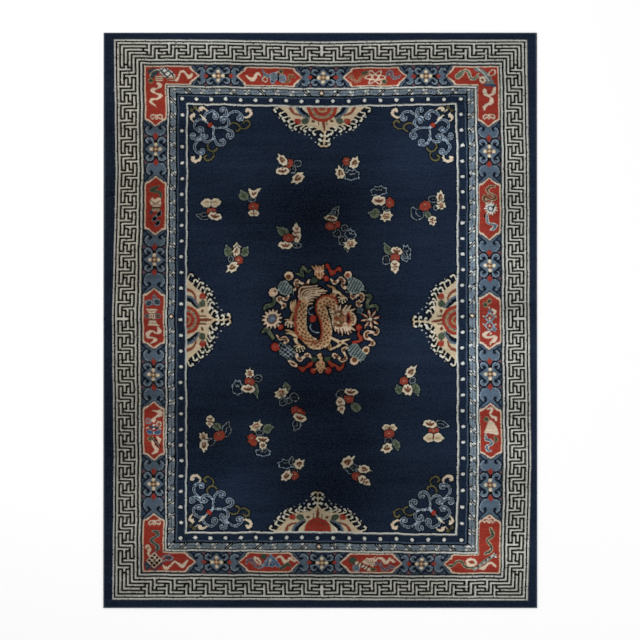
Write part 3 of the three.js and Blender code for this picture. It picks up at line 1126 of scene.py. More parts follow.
def dragonLegs(b):
    b.line([(10.4, 21.4), (14.4, 25.2), (13.8, 30.2), (7.6, 33.4)], [5.8, 4.8, 3.2, 1.2], "tan")
    b.line([(11.6, 23), (14, 27.4)], [1, 1.8], "rust")
    b.line([(13.8, 27.2), (18, 26.4), (21, 24)], [3.6, 3.2, 2.6], "wheat")
    paw(b, 22.4, 22, -166, 0.88)
    for shift in (0, 2.3, 4.6):
        b.line([(-24.4 - shift, 19.4 - shift * 0.5), (-26 - shift * 0.8, 12.8), (-26.4 - shift * 0.4, 7.2)],
            [1.2, 1.9, 1.2], "wheat" if shift != 2.3 else "peach")
    b.line([(-25, 15.8), (-25.8, 10), (-27.4, 4.4), (-29.2, -0.6)], [1, 2.6, 3.6, 2.6], "tan")
    b.dot(-28, 6.4, 0.9, "brown")
    b.dot(-27.2, 2.8, 0.8, "brown")
    paw(b, -29.8, -2.4, 172, 0.95)
    b.line([(-34.8, -11.2), (-29, -13), (-22.6, -17.2)], [1.2, 3.2, 4.2], "tan")
    b.line([(-33.2, -14.6), (-27.6, -15.4), (-23.4, -19)], [1.2, 2.2, 2.4], "wheat")
    b.line([(-23.6, -17.2), (-24.4, -21.6), (-22.2, -25.2)], [4, 3.6, 2.6], "wheat")
    b.dot(-24.6, -18.8, 0.9, "brown")
    paw(b, -21.2, -26.8, 202, 0.95)
    b.line([(6.4, -23.6), (9.4, -27.4), (9.8, -31.4)], [5.2, 4.2, 1.2], "tan")
    for shift in (0, 1.9, 3.8):
        b.bar([(4.4 + shift, -24.8), (6.4 + shift, -30)], [0.8, 0.9], "brown")
    b.line([(10.8, -30.6), (16.4, -28.2), (20.4, -25)], [2, 2.4, 3], "wheat")
    b.line([(12.2, -19.4), (16.6, -21.6), (20.6, -23.6)], [2.6, 3.4, 4.4], "wheat")
    b.line([(21, -22.6), (26, -21.4), (30, -20.4)], [2.6, 2, 1.2], "wheat")
    b.line([(22.2, -24.2), (25.4, -24.8), (27.6, -26.6)], [1.8, 1.6, 1.1], "wheat")
    b.dot(20.4, -23.6, 1.2, "brown")


def coiledDragon(b):
    back = dragon["back"]
    girth = dragon["girth"]
    for start, bow, end in dragon["tail"]:
        strand(b, start, bow, end, [2.6, 3.2, 1.4], "brown")
    for count, (start, bow, end) in enumerate(dragon["tail"]):
        strand(b, start, bow, end, [1.3, 1.6, 1.2], "wheat" if count % 3 else "cream")
    dragonLegs(b)
    # red ridge with small spines, then the body, its belly plates and its spotted scales
    for count, (place, side) in enumerate(alongCurve(dragon["ridge"], 2.2)):
        b.dot(*(place - side * 0.9), 1.3, "red" if count % 2 else "rust")
    b.line(back, girth, "peach")
    for count, (place, side) in enumerate(alongCurve(dragon["ridge"], 2.2)):
        b.dot(*(place + side * 0.2), 1.2, "rust" if count % 2 else "red")
    for plates in dragon["plates"]:
        for place, side in alongCurve(plates, 2.1):
            b.dot(*place, 1.05, "wheat")
    rows = alongCurve(back, 2.9)
    for count, (place, side) in enumerate(rows):
        half = widthAt(girth, count / (len(rows) - 1)) / 2
        ahead = np.array((side[1], -side[0]))
        for share in ((-0.42, 0.46) if count % 2 else (-0.82, 0.02, 0.86)):
            spot = place + side * half * share
            b.dot(*(spot + ahead * 1.5), 0.8, "tan")
            b.dot(*spot, 1.05 if abs(share) < 0.8 else 0.7, "brown")
    dragonHead(b)


def dragonHead(b):
    # a broad face seen from the front, chin to the right, with a mane of locks round it
    for shift in (0, 1.7, 3.4):
        strand(b, (9.2 + shift, 9.4), (0.6, 0), (12.8 + shift * 0.4, -7 - shift), [1.1, 1, 1.1], "wheat")
    locks = [((16.6, 6.6), (16, 13.4)), ((18.6, 7), (20.4, 14.2)), ((22.4, 7.6), (26.2, 13.8)),
        ((25.6, 7.4), (30.6, 13.6)), ((27.6, 7), (35, 10.6)), ((15.6, -6.2), (15.6, -12.6)),
        ((18, -7.6), (18.8, -14)), ((20.8, -8.4), (22.8, -15.4)), ((23.8, -8.2), (25.6, -14.2)),
        ((25.8, -7.6), (28.6, -15.6)), ((27.4, -7.2), (31.2, -13.4)), ((27.8, -6.6), (35, -11.2))]
    for root, tip in locks:
        b.bar([root, tip], [4.4, 3.9, 1.5], "brown")
    for root, tip in locks:
        b.bar([root, tip], [2.8, 2.3, 1.1], "cream")
    b.area([(13.6, 2.4), (15.4, 6.8), (19, 8.4), (24, 7.8), (29, 7.8), (33.6, 6.2), (35.8, 2.8),
        (36.2, -1.4), (34.4, -5.8), (29.6, -7.4), (24.4, -7), (19, -8.6), (15.2, -6.8), (13.2, -2.4)],
        "tan")
    # slanting brows over bulging eyes
    for flip in (1, -1):
        def face(*points):
            return [(x, 0.4 + y * flip) for x, y in points]

        b.dots(face((18.8, 3.9)), 2, "wheat")
        b.dots(face((19.8, 3.4)), 0.95, "ink")
        b.line(face((14.6, 5), (17.6, 6.8), (21.2, 5.4), (23.6, 1.8)), [1.1, 1.6, 1.8, 1.1], "brown")
        b.line(face((15.2, 1), (17.4, 2), (21, 1.8)), [1.4, 1.1, 0.8], "rust")
        b.line(face((23.4, 5.6), (25.6, 4.4), (26.4, 6.8)), [1.6, 1.8, 1.2], "cream")
        b.bar(face((16.4, 8), (21.6, 7.6)), 0.9, "brown")
    b.line([(13.8, 0.4), (16.8, 0.4), (20.6, 0.4)], [2.2, 1.8, 0.9], "rust")
    # nose, open mouth and bearded chin
    b.line([(27.6, 5.6), (28.6, 3), (28.4, 0.2), (28.8, -2.6), (27.8, -4.8)], [1.6, 3, 3.2, 3, 1.6], "red")
    b.line([(27.4, 3.6), (27.8, 0.4), (27.4, -3)], [1.4, 2, 1.4], "ink")
    b.area([(22, 0.4), (23.2, 3.2), (25.4, 3.8), (26.8, 1.8), (26.4, 0.4), (26.8, -1.2), (25.6, -3.2),
        (23.2, -2.6)], "rose")
    b.line([(23.8, 2.2), (24.6, 0.4), (23.8, -1.6)], [1.2, 1.8, 1.2], "peach")
    b.line([(30.4, 6.8), (32.2, 3.6), (31.8, 0.4), (32.4, -3.2), (30.8, -6.2)], [1.6, 2.2, 2.6, 2.2, 1.6],
        "peach")
    b.line([(31.6, 6.2), (34.2, 3.6), (34.8, 0.4), (34.2, -3.4), (32, -6)], [1.4, 1.8, 2, 1.8, 1.4],
        "cream")
    b.dots([(32.8, 4.2), (33, 1.4), (32.8, -1.4), (33, -4), (30.8, 2.2), (30.8, -1.6)], 0.75, "brown")
    b.line([(23.8, 7.8), (28, 8.6), (32.4, 8.6)], [1.6, 1.4, 1], "wheat")
    b.line([(25.8, -7), (30, -8.8), (34, -10.6)], [1.4, 1.6, 1.2], "wheat")


# Cases with pale stripes and cords at two corners: each drawn round a place in the wreath
stripedCases = [
    {
        "at": (35.4, 33.6),
        "outline": [(-7.6, 6.6), (-3.8, 8.2), (1.6, 6.4), (6.4, 2.4), (8.6, -2.6), (5.6, -5.4), (0.4, -8),
            (-5.6, -6.4), (-7.6, -2), (-6.4, 2.6)],
        "cords": [[(6.6, -3.6), (8.8, -5), (10.6, -5)], [(-5.2, -6.6), (-8, -7), (-10, -6)]],
        "slope": -28,
    },
    {
        "at": (-35.2, 31.2),
        "outline": [(-3.6, 6.2), (1.4, 6.6), (4, 2.6), (6.4, 1.2), (6.2, -3.6), (3.8, -6.8), (-0.6, -6.8),
            (-6.2, -3.6), (-6.6, 0.4)],
        "cords": [[(-6.4, -1.8), (-9, -3.2)], [(5, -5.2), (7.8, -4.6), (8.4, -7)]],
        "slope": -30,
    },
    {
        "at": (36.6, -33.4),
        "outline": [(-7.6, 5.4), (-3.2, 8.4), (1.2, 7.2), (4.8, 2.4), (8.8, -1.8), (7.4, -5), (3, -8.2),
            (-0.8, -5), (-6.8, -2.4), (-8.2, 1.4)],
        "cords": [[(-6.4, 6), (-8.4, 7.8)], [(2.6, -8), (4.4, -9.4)]],
        "slope": -38,
    },
]


def stripedCase(b, case):
    b.hold(medallionSpot[0] + case["at"][0], medallionSpot[1] + case["at"][1])
    b.area(case["outline"], "steel")
    b.hatch("steel", "teal", 2.7, 1.35, case["slope"])
    b.hatch("steel", "lichen", 2.7, 9)
    for cord in [case["outline"] + case["outline"][:1]] + case["cords"]:
        b.line(cord, 1.05, "lichen")


def foldedRibbon(b, points, widths, yarn, shadow, depth=0.29):
    # a floating ribbon, darker inside its bends
    widths = [w * 0.92 for w in widths]
    b.line(points, widths, yarn)
    spots = alongCurve(points, 0.5)
    for k in range(3, len(spots) - 3):
        before, (place, side), after = spots[k - 3][1], spots[k], spots[k + 3][1]
        bend = before[0] * after[1] - before[1] * after[0]
        if abs(bend) > 0.42:
            width = widthAt(widths, k / len(spots))
            b.dot(*(place + side * math.copysign(width * 0.12, bend)), width * depth, shadow)


def budRing(b, x, y, radius, yarn="cream", core="brown", aside=(0, 0)):
    b.dot(x, y, radius, yarn)
    b.dot(x + aside[0], y + aside[1], radius * 0.66, "peach")
    b.dot(x + aside[0], y + aside[1], radius * 0.52, core)


def wreath(b):
    b.hold(*medallionSpot)
    # floating ribbons
    for points, widths in (
        ([(11.2, 39.4), (14.8, 35.8), (18.4, 38.6), (21.4, 41), (24, 38.2), (22.4, 33.8), (25.2, 31.4)],
            [2.4, 4.2, 2.6, 3.6, 4, 3, 4]),
        ([(30.6, 26.6), (32.2, 21.6), (36.8, 23.4), (41.8, 24), (42, 19.2), (37.4, 16.4), (38.6, 13.4),
            (42.4, 14)], [2, 3.6, 2.6, 4.6, 4, 3.6, 4, 1.6]),
        ([(54.6, -8), (58, -11.4), (56.2, -15.2), (51.4, -13.2), (46.2, -13.4), (46.4, -18), (51.4, -21),
            (53.6, -24.8), (49.4, -26.6)], [2, 3, 3.6, 3, 4.4, 4.4, 2.6, 4.6, 2.2]),
        ([(28, -28.6), (23, -30.6), (24.4, -35.2), (25.4, -40), (21.4, -41.6), (17.4, -37.4), (13.8, -36.4),
            (14.2, -39.2)], [2.6, 3.8, 2.4, 4, 3.6, 2.8, 4.4, 2]),
        ([(-24.4, -29.6), (-24, -35.6), (-20.6, -41), (-17.2, -38.4), (-13, -35.4), (-9.2, -38.2)],
            [2.8, 3.8, 4.2, 3, 4.4, 2.2]),
        ([(-43, -16.6), (-39.6, -19.8), (-35.6, -18.8), (-33, -22.2), (-35.6, -24.2)],
            [2.4, 3.8, 3, 4.4, 2.6]),
        ([(-31.4, 23), (-33.8, 19.4), (-39.4, 21.2), (-42, 19.6), (-38.8, 15.6), (-35.6, 13.4),
            (-38.6, 10.6)], [2.4, 3.6, 3.2, 4.6, 3.6, 3.8, 2]),
        ([(-10.8, 39.8), (-14.2, 34.2), (-18.8, 35.8), (-23.4, 38.2), (-24.6, 34.8), (-22.4, 31.4),
            (-26.6, 28.8)], [1.8, 4.2, 2.6, 4, 3.6, 3.8, 2.2]),
    ):
        foldedRibbon(b, points, widths, "cream", "brown")
    for points, widths in (
        ([(44.6, 24.4), (50.2, 22.6), (47.6, 17.4), (47.4, 12), (52, 12.8), (56.4, 12.4), (57.2, 8.4)],
            [1.8, 4, 4, 3, 3.6, 4, 1.8]),
        ([(-16.4, 52.2), (-18.2, 48.4), (-17.4, 43.4), (-23.8, 45.8)], [3.2, 3.8, 3.8, 1.2]),
        ([(-15.4, 51.8), (-12, 47.8), (-9.2, 49.2)], [2.4, 3, 1.6]),
        ([(-47, 23), (-45.8, 18), (-48.6, 14.2), (-53.6, 12.4), (-56.6, 9)], [2, 4.4, 4.2, 5, 1.4]),
        ([(-57, -13), (-53, -10.6), (-49.8, -14.2), (-47.2, -18.8)], [2.4, 5, 4.6, 4]),
    ):
        foldedRibbon(b, points, widths, "olive", "leaf", 0.36)
    for points, widths in (
        ([(7.4, 53), (9.4, 49.6), (12.8, 45.6), (15.8, 48.2), (19.4, 50.2), (20.8, 47.6)],
            [4.6, 3, 5.2, 2.4, 4.8, 1.8]),
        ([(39, -12.2), (38.6, -15.6), (41.6, -19.4), (38.8, -22.4), (33.8, -23.4)],
            [2.2, 2.6, 4.6, 2.4, 3.6]),
        ([(9.6, -44), (12, -46.4), (15.6, -46.6), (18.8, -50), (21.6, -48.6), (23.4, -45)],
            [4.4, 4.8, 2.2, 5, 3.6, 2]),
        ([(-8.4, -43.6), (-10.8, -46), (-14, -47.8), (-17.6, -50.2), (-21, -48.2)], [3.6, 5, 2.2, 5.6, 2]),
    ):
        foldedRibbon(b, points, widths, "red", "rust")
    for x, y, radius in ((6.4, 40, 3), (38.8, -8.4, 3.1), (8.2, -51.6, 3.5), (-7, -51.6, 3.1),
            (-45, -28, 4.3), (-39.2, -8.2, 2.9)):
        b.dot(x, y, radius, "red")
        b.dot(x - 0.4, y + 0.4, 0.9, "rose")
    b.dot(39.8, 8.6, 3.4, "steel")
    b.dot(39.8, 8.6, 2.5, "denim")
    b.dot(39.8, 8.6, 1.1, "teal")
    # buds at the ends of the cases
    budRing(b, 28.4, 44.4, 3.7, core="rust", aside=(-0.4, -0.6))
    budRing(b, 46, -31, 3.9)
    budRing(b, 34.2, -41.6, 4.4, aside=(0, 1))
    budRing(b, -31, 42.8, 4.5, aside=(-0.5, -0.9))
    budRing(b, -46.8, 26.6, 4.5, core="cream")
    b.dot(-45.4, 27.6, 1.1, "brown")
    b.line([(-31.4, -42.2), (-27.6, -44.8), (-24.4, -46.8)], [2.4, 5.2, 3.4], "cream")
    b.line([(-29.6, -43.8), (-26.2, -45.8)], [1, 2.2], "brown")
    # lotus at the head and stacked bud at the foot
    b.tile([(-8.2, 53.6), (-5.4, 51.8), (-4.4, 54), (-2.2, 52.4), (-0.6, 54.2), (1.2, 52.4), (3.6, 54),
        (4.4, 50.2), (3.6, 48.4), (4.8, 44.6), (3.2, 41.6), (0.4, 39.2), (-3, 41.6), (-5.4, 45),
        (-4.6, 48.6), (-7, 50.6)], "peach")
    for k in (-1, 0, 1):
        b.bar([(-0.6 + 2.4 * k, 42.8), (-0.6 + 2.8 * k, 46.8)], 0.9, "rust")
        b.bar([(-0.6 + 3.2 * k, 49.2), (-1.2 + 3.4 * k, 52.6)], 0.9, "rust")
    b.line([(-4.8, 47.8), (-0.6, 46.8), (4, 48)], 1.2, "cream")
    b.line([(-1.2, -36.4), (0.6, -39.6), (1.2, -43)], [4.2, 3.4, 3], "peach")
    b.bar([(-3, -36.4), (-0.8, -40)], [1.1, 1.1], "cream")
    b.area([(-3.6, -43.4), (0.4, -42), (4.4, -43.4), (4.6, -47.4), (3.2, -51.6), (0.6, -55.2),
        (-2.2, -51.6), (-4, -47.6)], "peach")
    seeds = [(-1.6, -45.2), (2.4, -45.2), (0.4, -47.6), (-1.6, -49.8), (2.4, -49.8), (0.4, -52.4)]
    b.dots(seeds, 0.75, "rust")
    for side in (-1, 1):
        b.bar([(0.4 + 4.2 * side, -49.4), (0.4 + 6.2 * side, -50.2)], 1.3, "peach")
        b.area([(0.6 + 3.4 * side, -39), (0.6 + 6.8 * side, -37.4), (0.6 + 9.8 * side, -38.6),
            (0.6 + 9.2 * side, -41.8), (0.6 + 5.6 * side, -43.2)], "leaf")
    b.area([(-10, 37.8), (-7.4, 41.6), (-3.6, 41.2), (-2.2, 38.2), (-5.6, 35.6)], "leaf")
    # sunflower at the left and eight-petalled star at the right
    b.dot(-48, 0, 6.4, "cream")
    for root, tip in zip(around(14, 5.6, -48, start=0.3), around(14, 9.8, -48, start=0.3)):
        b.bar([root, tip], [3.4, 1], "cream")
    b.dot(-48, 0, 5, "brown")
    b.dot(-48, 0, 4, "slate")
    b.dots([(-48, 0)] + around(4, 1.7, -48), 0.7, "sky")
    for k in range(8):
        a = 2 * math.pi * k / 8 + 0.2
        for lean, yarn in ((0, "cream"), (0.14, "rust")):
            inner = (50 + 2.6 * math.cos(a), 2.6 * math.sin(a))
            middle = (50 + 6 * math.cos(a + lean), 6 * math.sin(a + lean))
            outer = (50 + 9.8 * math.cos(a), 9.8 * math.sin(a))
            b.line([inner, middle, outer], [1.2, 3, 1] if yarn == "cream" else [0.9, 1.2, 0.8], yarn)
    b.dot(50, 0, 1.8, "ivory")
    # lattice with a loop at the lower left
    b.hold(medallionSpot[0] - 32.6, medallionSpot[1] - 33.4, -38)
    for k in range(-1, 2):
        b.bar([(-8.6, 3.2 * k), (8.2, 3.2 * k)], 1.1, "mist")
        b.bar([(3.6 * k - 1.2, -6), (3.6 * k + 1.2, 6)], 1.1, "mist")
    b.line([(-6.6, 4.8), (0, 5.2), (6.4, 4.8), (7.4, 0), (6.4, -5), (0, -5.4), (-6.4, -5), (-7.4, 0),
        (-6.6, 4.8)], 1.1, "steel")
    b.line([(-8, 3), (-11, 3.4), (-11.2, 0.2), (-8.4, 0)], 1.3, "steel")
    for case in stripedCases:
        stripedCase(b, case)
    b.hold(*medallionSpot)


b = Brush(*medallionSpot)
b.area([(-12.6, 12), (-4, 12.8), (-3.8, 6), (2, -6), (3.6, -14), (-0.6, -19), (-6.8, -17.6), (-12.6, -10),
    (-14.2, 0)], "night")
b.line([(-2.6, 12.2), (-8.4, 11.8), (-11.8, 8.6), (-10.4, 5), (-8.2, 4.6)], 0.95, "sky")
b.line([(3.6, -11.6), (-1.2, -13.6), (-6.6, -12.2), (-9.8, -8.6), (-9, -5.4)], 0.95, "sky")
b.dot(-7.4, 0.6, 3.4, "red")
b.line([(-7.6, 3.6), (-4.6, 2.6)], 0.9, "red")
b.lay()
wreath(b)
b.edge("ink")
b.edge("night")
b.lay()
coiledDragon(b)
b.edge("ink", 2)
b.lay()


# Blossoms and leaves, each drawn about ten quarter inches across with its tip up


def petals(b, points, inside, rim="ivory", knots=2):
    # a blossom or leaf in one yarn with a rim of another
    b.area(points, rim)
    b.fade(rim, inside, knots)


def pointedBloom(b):
    # ruffled petal with a long heart
    petals(b, [(0.4, 6.2), (-1.4, 3.4), (-3.8, 3.6), (-4.2, 1.2), (-5.2, -0.6), (-3.8, -2.4), (-3.4, -4.6),
        (-0.8, -4.2), (1.2, -5.2), (3, -3.8), (4.8, -2.2), (4.2, 0.2), (4.4, 2.4), (2.2, 3.2)], "cream")
    b.area([(0.4, 2.6), (-1.6, 1.2), (-2.4, -0.8), (-1.4, -2.4), (0.4, -1.6), (2.2, -1.8), (2.2, 0.4)],
        "brown")
    b.bar([(0.2, -1.6), (0.6, 0.4)], 1, "wheat")


def heartBloom(b):
    # broad three-lobed blossom with a spreading heart
    petals(b, [(0, 4.6), (-1.8, 3.6), (-3.6, 3.8), (-5, 1.6), (-5.2, -1.2), (-3.6, -2.6), (-2.2, -4.2),
        (0, -3.6), (2.2, -4.4), (4, -2.8), (5.4, -1), (4.8, 1.8), (3.2, 3.6), (1.6, 3.4)], "cream")
    b.line([(-2.6, 0.6), (-1, -0.6), (0.8, -0.8), (2.8, 0.8)], [1.6, 2.2, 2.2, 1.4], "brown")
    b.bar([(0, 0.4), (0, 2.4)], 1.2, "rust")


def scallops(b, yarn, inside, petals=6):
    # round blossom of overlapping petals
    for k in range(petals):
        a = 2 * math.pi * k / petals + 0.4
        b.dot(3 * math.cos(a), 3 * math.sin(a), 2.1, yarn)
    b.dot(0, 0, 3.4, yarn)
    b.fade(yarn, inside, 1)
    for k in range(petals):
        a = 2 * math.pi * (k + 0.5) / petals + 0.4
        b.bar([(1.6 * math.cos(a), 1.6 * math.sin(a)), (3.9 * math.cos(a), 3.9 * math.sin(a))], 0.8, yarn)


def roseBloom(b):
    # round red blossom with paler edges to its petals
    scallops(b, "rose", "red")
    b.dot(0, -0.2, 1.1, "rust")
    b.dot(-0.2, 0.2, 0.8, "peach")


def plainBloom(b):
    # peach blossom with a curl in it
    petals(b, [(0, 5.4), (-1.8, 3), (-4.4, 3.6), (-3.8, 0.8), (-5.6, -0.6), (-3.6, -2.4), (-3.2, -4.8),
        (-0.6, -3.8), (1.6, -5.2), (3.2, -3), (5.4, -2.2), (4.2, 0.6), (4.6, 3.2), (1.8, 3)], "wheat")
    b.line([(-2.2, 0.4), (-0.6, 2), (1.4, 1.2), (1.6, -0.6), (0.2, -1.2), (-0.6, 0)], 0.95, "rust")
    b.line([(-1.6, -1.6), (0, -2.8), (2, -2.4)], 0.9, "brown")


def doubleBloom(b):
    # two full petals side by side, each with a curl
    for side in (-1, 1):
        petals(b, mirrored([(0, 2.4), (1.2, 4.4), (3.2, 4.6), (4.4, 2.6), (5.4, 0.2), (4.2, -2.6),
            (2.4, -4.6), (0.4, -3.4)], side, 1), "wheat")
        b.line([(side, 0.2), (1.9 * side, 1.4), (2.8 * side, 0.4)], 1, "tan")
    b.bar([(0, 1.8), (0, -3.4)], 1.1, "brown")


def trumpetBloom(b):
    # two ears over a cup
    petals(b, [(-5.4, 5), (-2.4, 3.6), (0, 3), (2.6, 4.4), (6, 5.2), (4.4, 1.8), (3, -2.2), (0.6, -4.8),
        (-2, -3.6), (-4.4, 0.4)], "cream")
    b.line([(-1.6, 1), (0, -0.8), (1.8, 1.4)], [1.1, 2, 1.1], "brown")


def tallBloom(b):
    # closed flower of two stacked petals
    petals(b, [(0, 6), (-2, 4.2), (-4, 2.6), (-3.6, 0.6), (-5, -1.6), (-3.4, -3.8), (-0.6, -5.4),
        (2.4, -4.6), (4.6, -2), (3.6, 0.4), (4.2, 2.4), (2, 4)], "cream")
    b.line([(-3, 0.9), (-1.2, -0.2), (0.8, 0.4), (2.8, 0.4)], 0.95, "brown")
    b.line([(-1.2, 3), (0.2, 1.8), (1.2, 3)], 0.9, "rust")
    b.line([(-1.4, -2.6), (0.2, -1.6), (1.8, -2.8)], 1.2, "brown")


def olivePetal(b):
    # leaf with a paler rim and veins
    petals(b, [(-0.6, 6.2), (-2.4, 3.6), (-4.6, 2.2), (-5, -1.2), (-3.2, -3.8), (0, -4.8), (3.2, -4),
        (5, -1.2), (3.8, 1.6), (1.6, 3.2)], "olive", "lichen", 1)
    b.line([(0, -3.6), (-0.2, 0), (-0.6, 4)], 0.95, "leaf")
    for side in (-1, 1):
        b.bar([(-0.2, -1.6), (2.6 * side, 0.6)], 0.9, "leaf")


def openLeaf(b):
    # leaf drawn in outline only
    b.line([(0.4, -4.8), (-3.2, -3.2), (-4.6, 0.2), (-3, 3), (-0.4, 5.6), (1.4, 2.8), (4.2, 1.2),
        (4.6, -1.8), (2.8, -4.2), (0.4, -4.8)], 1.05, "mist")
    b.line([(0.4, -2.6), (-0.6, 0.4), (0.6, 1.8)], 0.9, "mist")


def openBloom(b):
    # ruffled blossom in outline, with two small curls
    b.line([(0, -4.8), (-2.4, -3.6), (-4.6, -3.2), (-4.8, -0.6), (-5.2, 1.8), (-3, 2.8), (-2, 4.8),
        (0.2, 3.8), (2.2, 4.8), (3.4, 2.8), (5.2, 2), (4.6, -0.8), (4.8, -3), (2.2, -3.4), (0, -4.8)], 1.15,
        "sky")
    b.line([(-2, 1.8), (-0.8, 0.4), (0, 1.8), (1.2, 0.4), (2.2, 1.6)], 0.9, "mist")


def openCurl(b):
    # small leaf in outline, folded at the tip
    b.line([(-0.6, -4.8), (-3.8, -2.4), (-4.4, 1.4), (-1.6, 4.4), (1.8, 4.6), (4.4, 2), (3.6, -1.8),
        (-0.6, -4.8)], 1, "mist")
    b.line([(-0.8, -1.8), (0.2, 0.8), (1.8, 1.6)], 0.9, "steel")


def redOval(b):
    # full red blossom seen from the side
    scallops(b, "rose", "red", 7)
    b.line([(-1.8, -1), (0.2, 0.4), (2, -0.4)], 0.9, "rust")
    b.dot(0.2, 1.4, 0.8, "peach")


